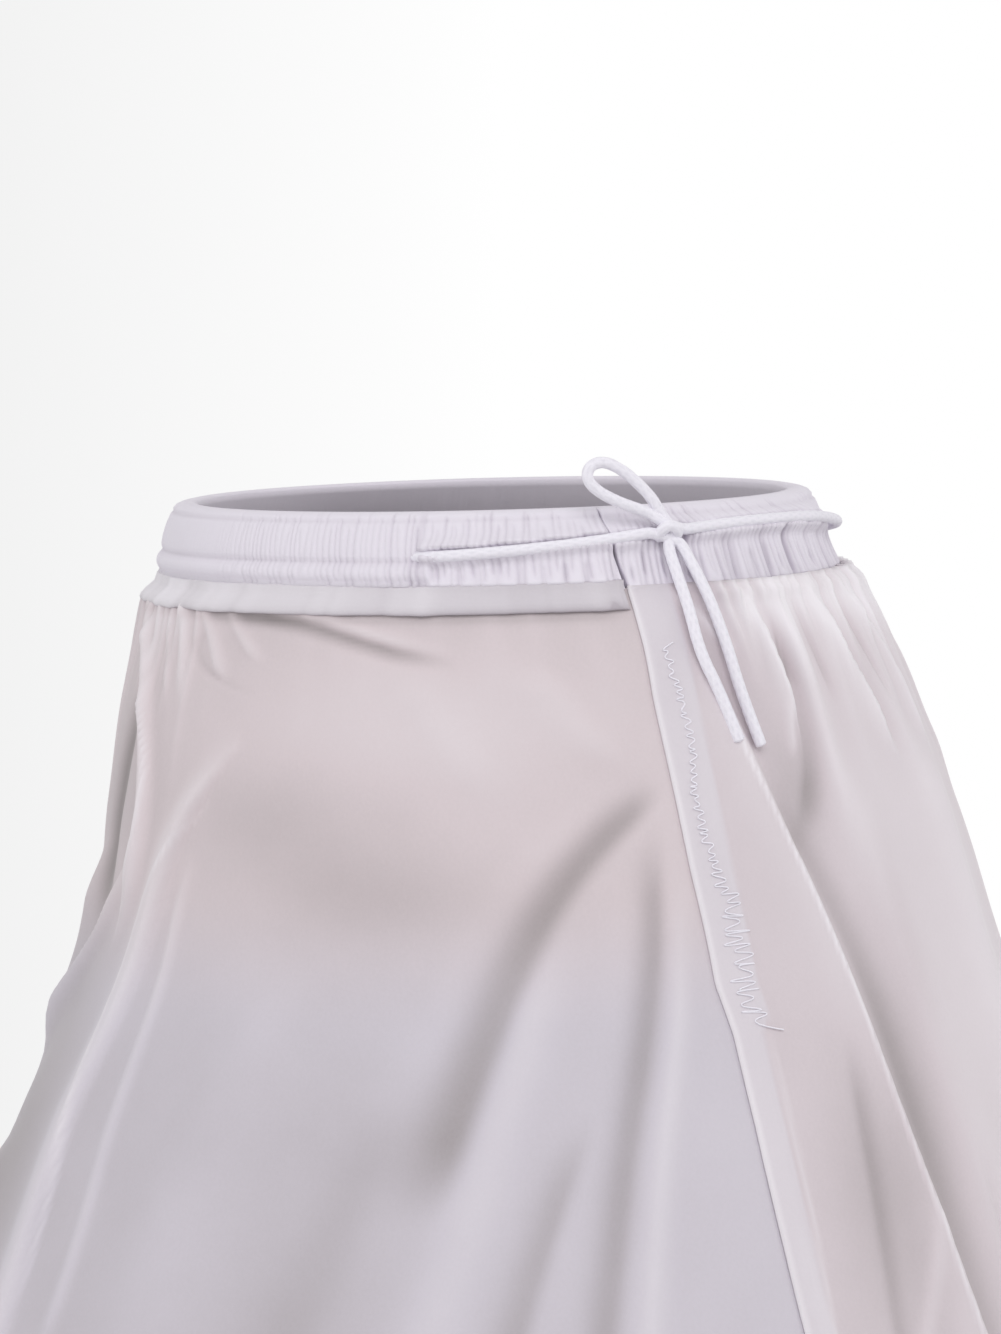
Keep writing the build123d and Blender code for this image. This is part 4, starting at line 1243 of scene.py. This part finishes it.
# %% Steel and plastic
def steel_finish():
    """Brushed spring steel with fine streaks round the hoop and a few darker spots."""
    finish, tree, shader = new_finish("spring steel")
    brushed, spots = noise(tree, 1.0, 4.0, stretch=(30.0, 30.0, 4000.0)), noise(tree, 60.0, 5.0)
    color = mixed(brushed.stretched(0.35, 0.7), screen(150, 152, 157), screen(196, 198, 203))
    color = mixed(spots.stretched(0.62, 0.75) * 0.4, color, screen(104, 98, 94))
    set_inputs(tree, shader, {"Base Color": color, "Normal": bumped(brushed, 0.2, 0.2),
                              "Roughness": 0.28 + brushed * 0.2, "Metallic": 1.0})
    return finish


def plastic_finish():
    """Milky moulded plastic with a faint flow pattern."""
    finish, tree, shader = new_finish("milky plastic")
    flow = noise(tree, 140.0, 3.0)
    color = mixed(flow.clamped(), screen(222, 221, 216), screen(238, 238, 235))
    set_inputs(tree, shader, {"Base Color": color, "Normal": bumped(flow, 0.1, 0.2),
                              "Roughness": 0.3 + flow * 0.15})
    return finish


STEEL, PLASTIC = steel_finish(), plastic_finish()
for number in range(1, HOOP_COUNT + 1):
    for node, finish in ((f"hoop_bone_{number}", STEEL), (f"hoop_connector_{number}", PLASTIC)):
        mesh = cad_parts[node].data
        mesh.materials.clear()
        mesh.materials.append(finish)

# %% Hem
hem_section = (
    (HEM_RADIUS + 0.2, 1000.4), (HEM_RADIUS + 0.2, 1001.2), (HEM_RADIUS - 2.4, 1001.2),
    (HEM_RADIUS - 25.0 * slope - 2.6, 975.0), (HEM_RADIUS - 25.0 * slope - 1.9, 975.0),
    (HEM_RADIUS - 1.7, 1000.4),
)
hem = spun_ring("hem_turning", hem_section, FACING_CLOTH)
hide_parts("hem_facing")
print("tapes and hem made")

# %% [markdown]
# The stage is a pale floor under the hem and a white background, with painted shade that greys
# it a little towards the picture's left. The background comes from the world's colour as the
# camera and mirrors see it, while the cloth is lit by a plain level of soft light and three
# large lamps.

# %% Stage and light
FLOOR_RADIUS, FLOOR_GAP = 2.4, 0.001
PAPER_WHITE, PAPER_SHADE = (1.0, 1.0, 1.0, 1.0), (0.89, 0.89, 0.89, 1.0)
SOFT_LIGHT = 0.55

floor_maker = bmesh.new()
bmesh.ops.create_circle(floor_maker, cap_ends=True, segments=96, radius=FLOOR_RADIUS)
floor_mesh = bpy.data.meshes.new("floor")
bmesh.ops.translate(floor_maker, verts=floor_maker.verts, vec=(0, 0, cad_box[0][2] - FLOOR_GAP))
floor_maker.to_mesh(floor_mesh)
floor_maker.free()
floor_finish, floor_tree, floor_shader = new_finish("pale floor")
set_inputs(floor_tree, floor_shader, {"Base Color": (0.86, 0.86, 0.86, 1.0), "Roughness": 0.8})
floor_mesh.materials.append(floor_finish)
floor = bpy.data.objects.new("floor", floor_mesh)
scene.collection.objects.link(floor)

world = bpy.data.worlds.new("world")
scene.world = world
world.use_nodes = True
sky = world.node_tree
sky.nodes.clear()
seen = path = add_node(sky, "ShaderNodeLightPath", output="Is Camera Ray")
for kind in ("Is Glossy Ray", "Is Transmission Ray"):
    seen = seen.maths("MAXIMUM", seen, path.other(kind))
soft = add_node(sky, "ShaderNodeBackground", {"Color": PAPER_WHITE, "Strength": SOFT_LIGHT})
toward = add_node(sky, "ShaderNodeTexCoord", output=0)
aside = add_node(sky, "ShaderNodeVectorMath", {0: toward, 1: tuple(picture_right)}, output=1,
                 operation="DOT_PRODUCT")
# painted shade: the backdrop greys a little towards the picture's left
paper = mixed(aside.stretched(-0.07, 0.0), PAPER_SHADE, PAPER_WHITE)
white = add_node(sky, "ShaderNodeBackground", {"Color": paper, "Strength": 1.0})
both = add_node(sky, "ShaderNodeMixShader", {0: seen, 1: soft, 2: white})
add_node(sky, "ShaderNodeOutputWorld", {"Surface": both})


def lamp(name, azimuth, elevation, distance, size, power):
    """A large square lamp that faces the waist."""
    light = bpy.data.lights.new(name, "AREA")
    light.size, light.energy = size, power
    lamp_object = bpy.data.objects.new(name, light)
    toward = Vector((cos(radians(elevation)) * sin(radians(azimuth)),
                     -cos(radians(elevation)) * cos(radians(azimuth)), sin(radians(elevation))))
    lamp_object.location = toward * distance
    lamp_object.rotation_euler = toward.to_track_quat("Z", "Y").to_euler()
    scene.collection.objects.link(lamp_object)


# degrees round and up, metres away, metres wide, watts
lamp("key", 78, 36, 3.0, 1.8, 30)
lamp("fill", 5, 24, 3.2, 2.0, 24)
lamp("side", 150, 18, 3.2, 2.0, 18)
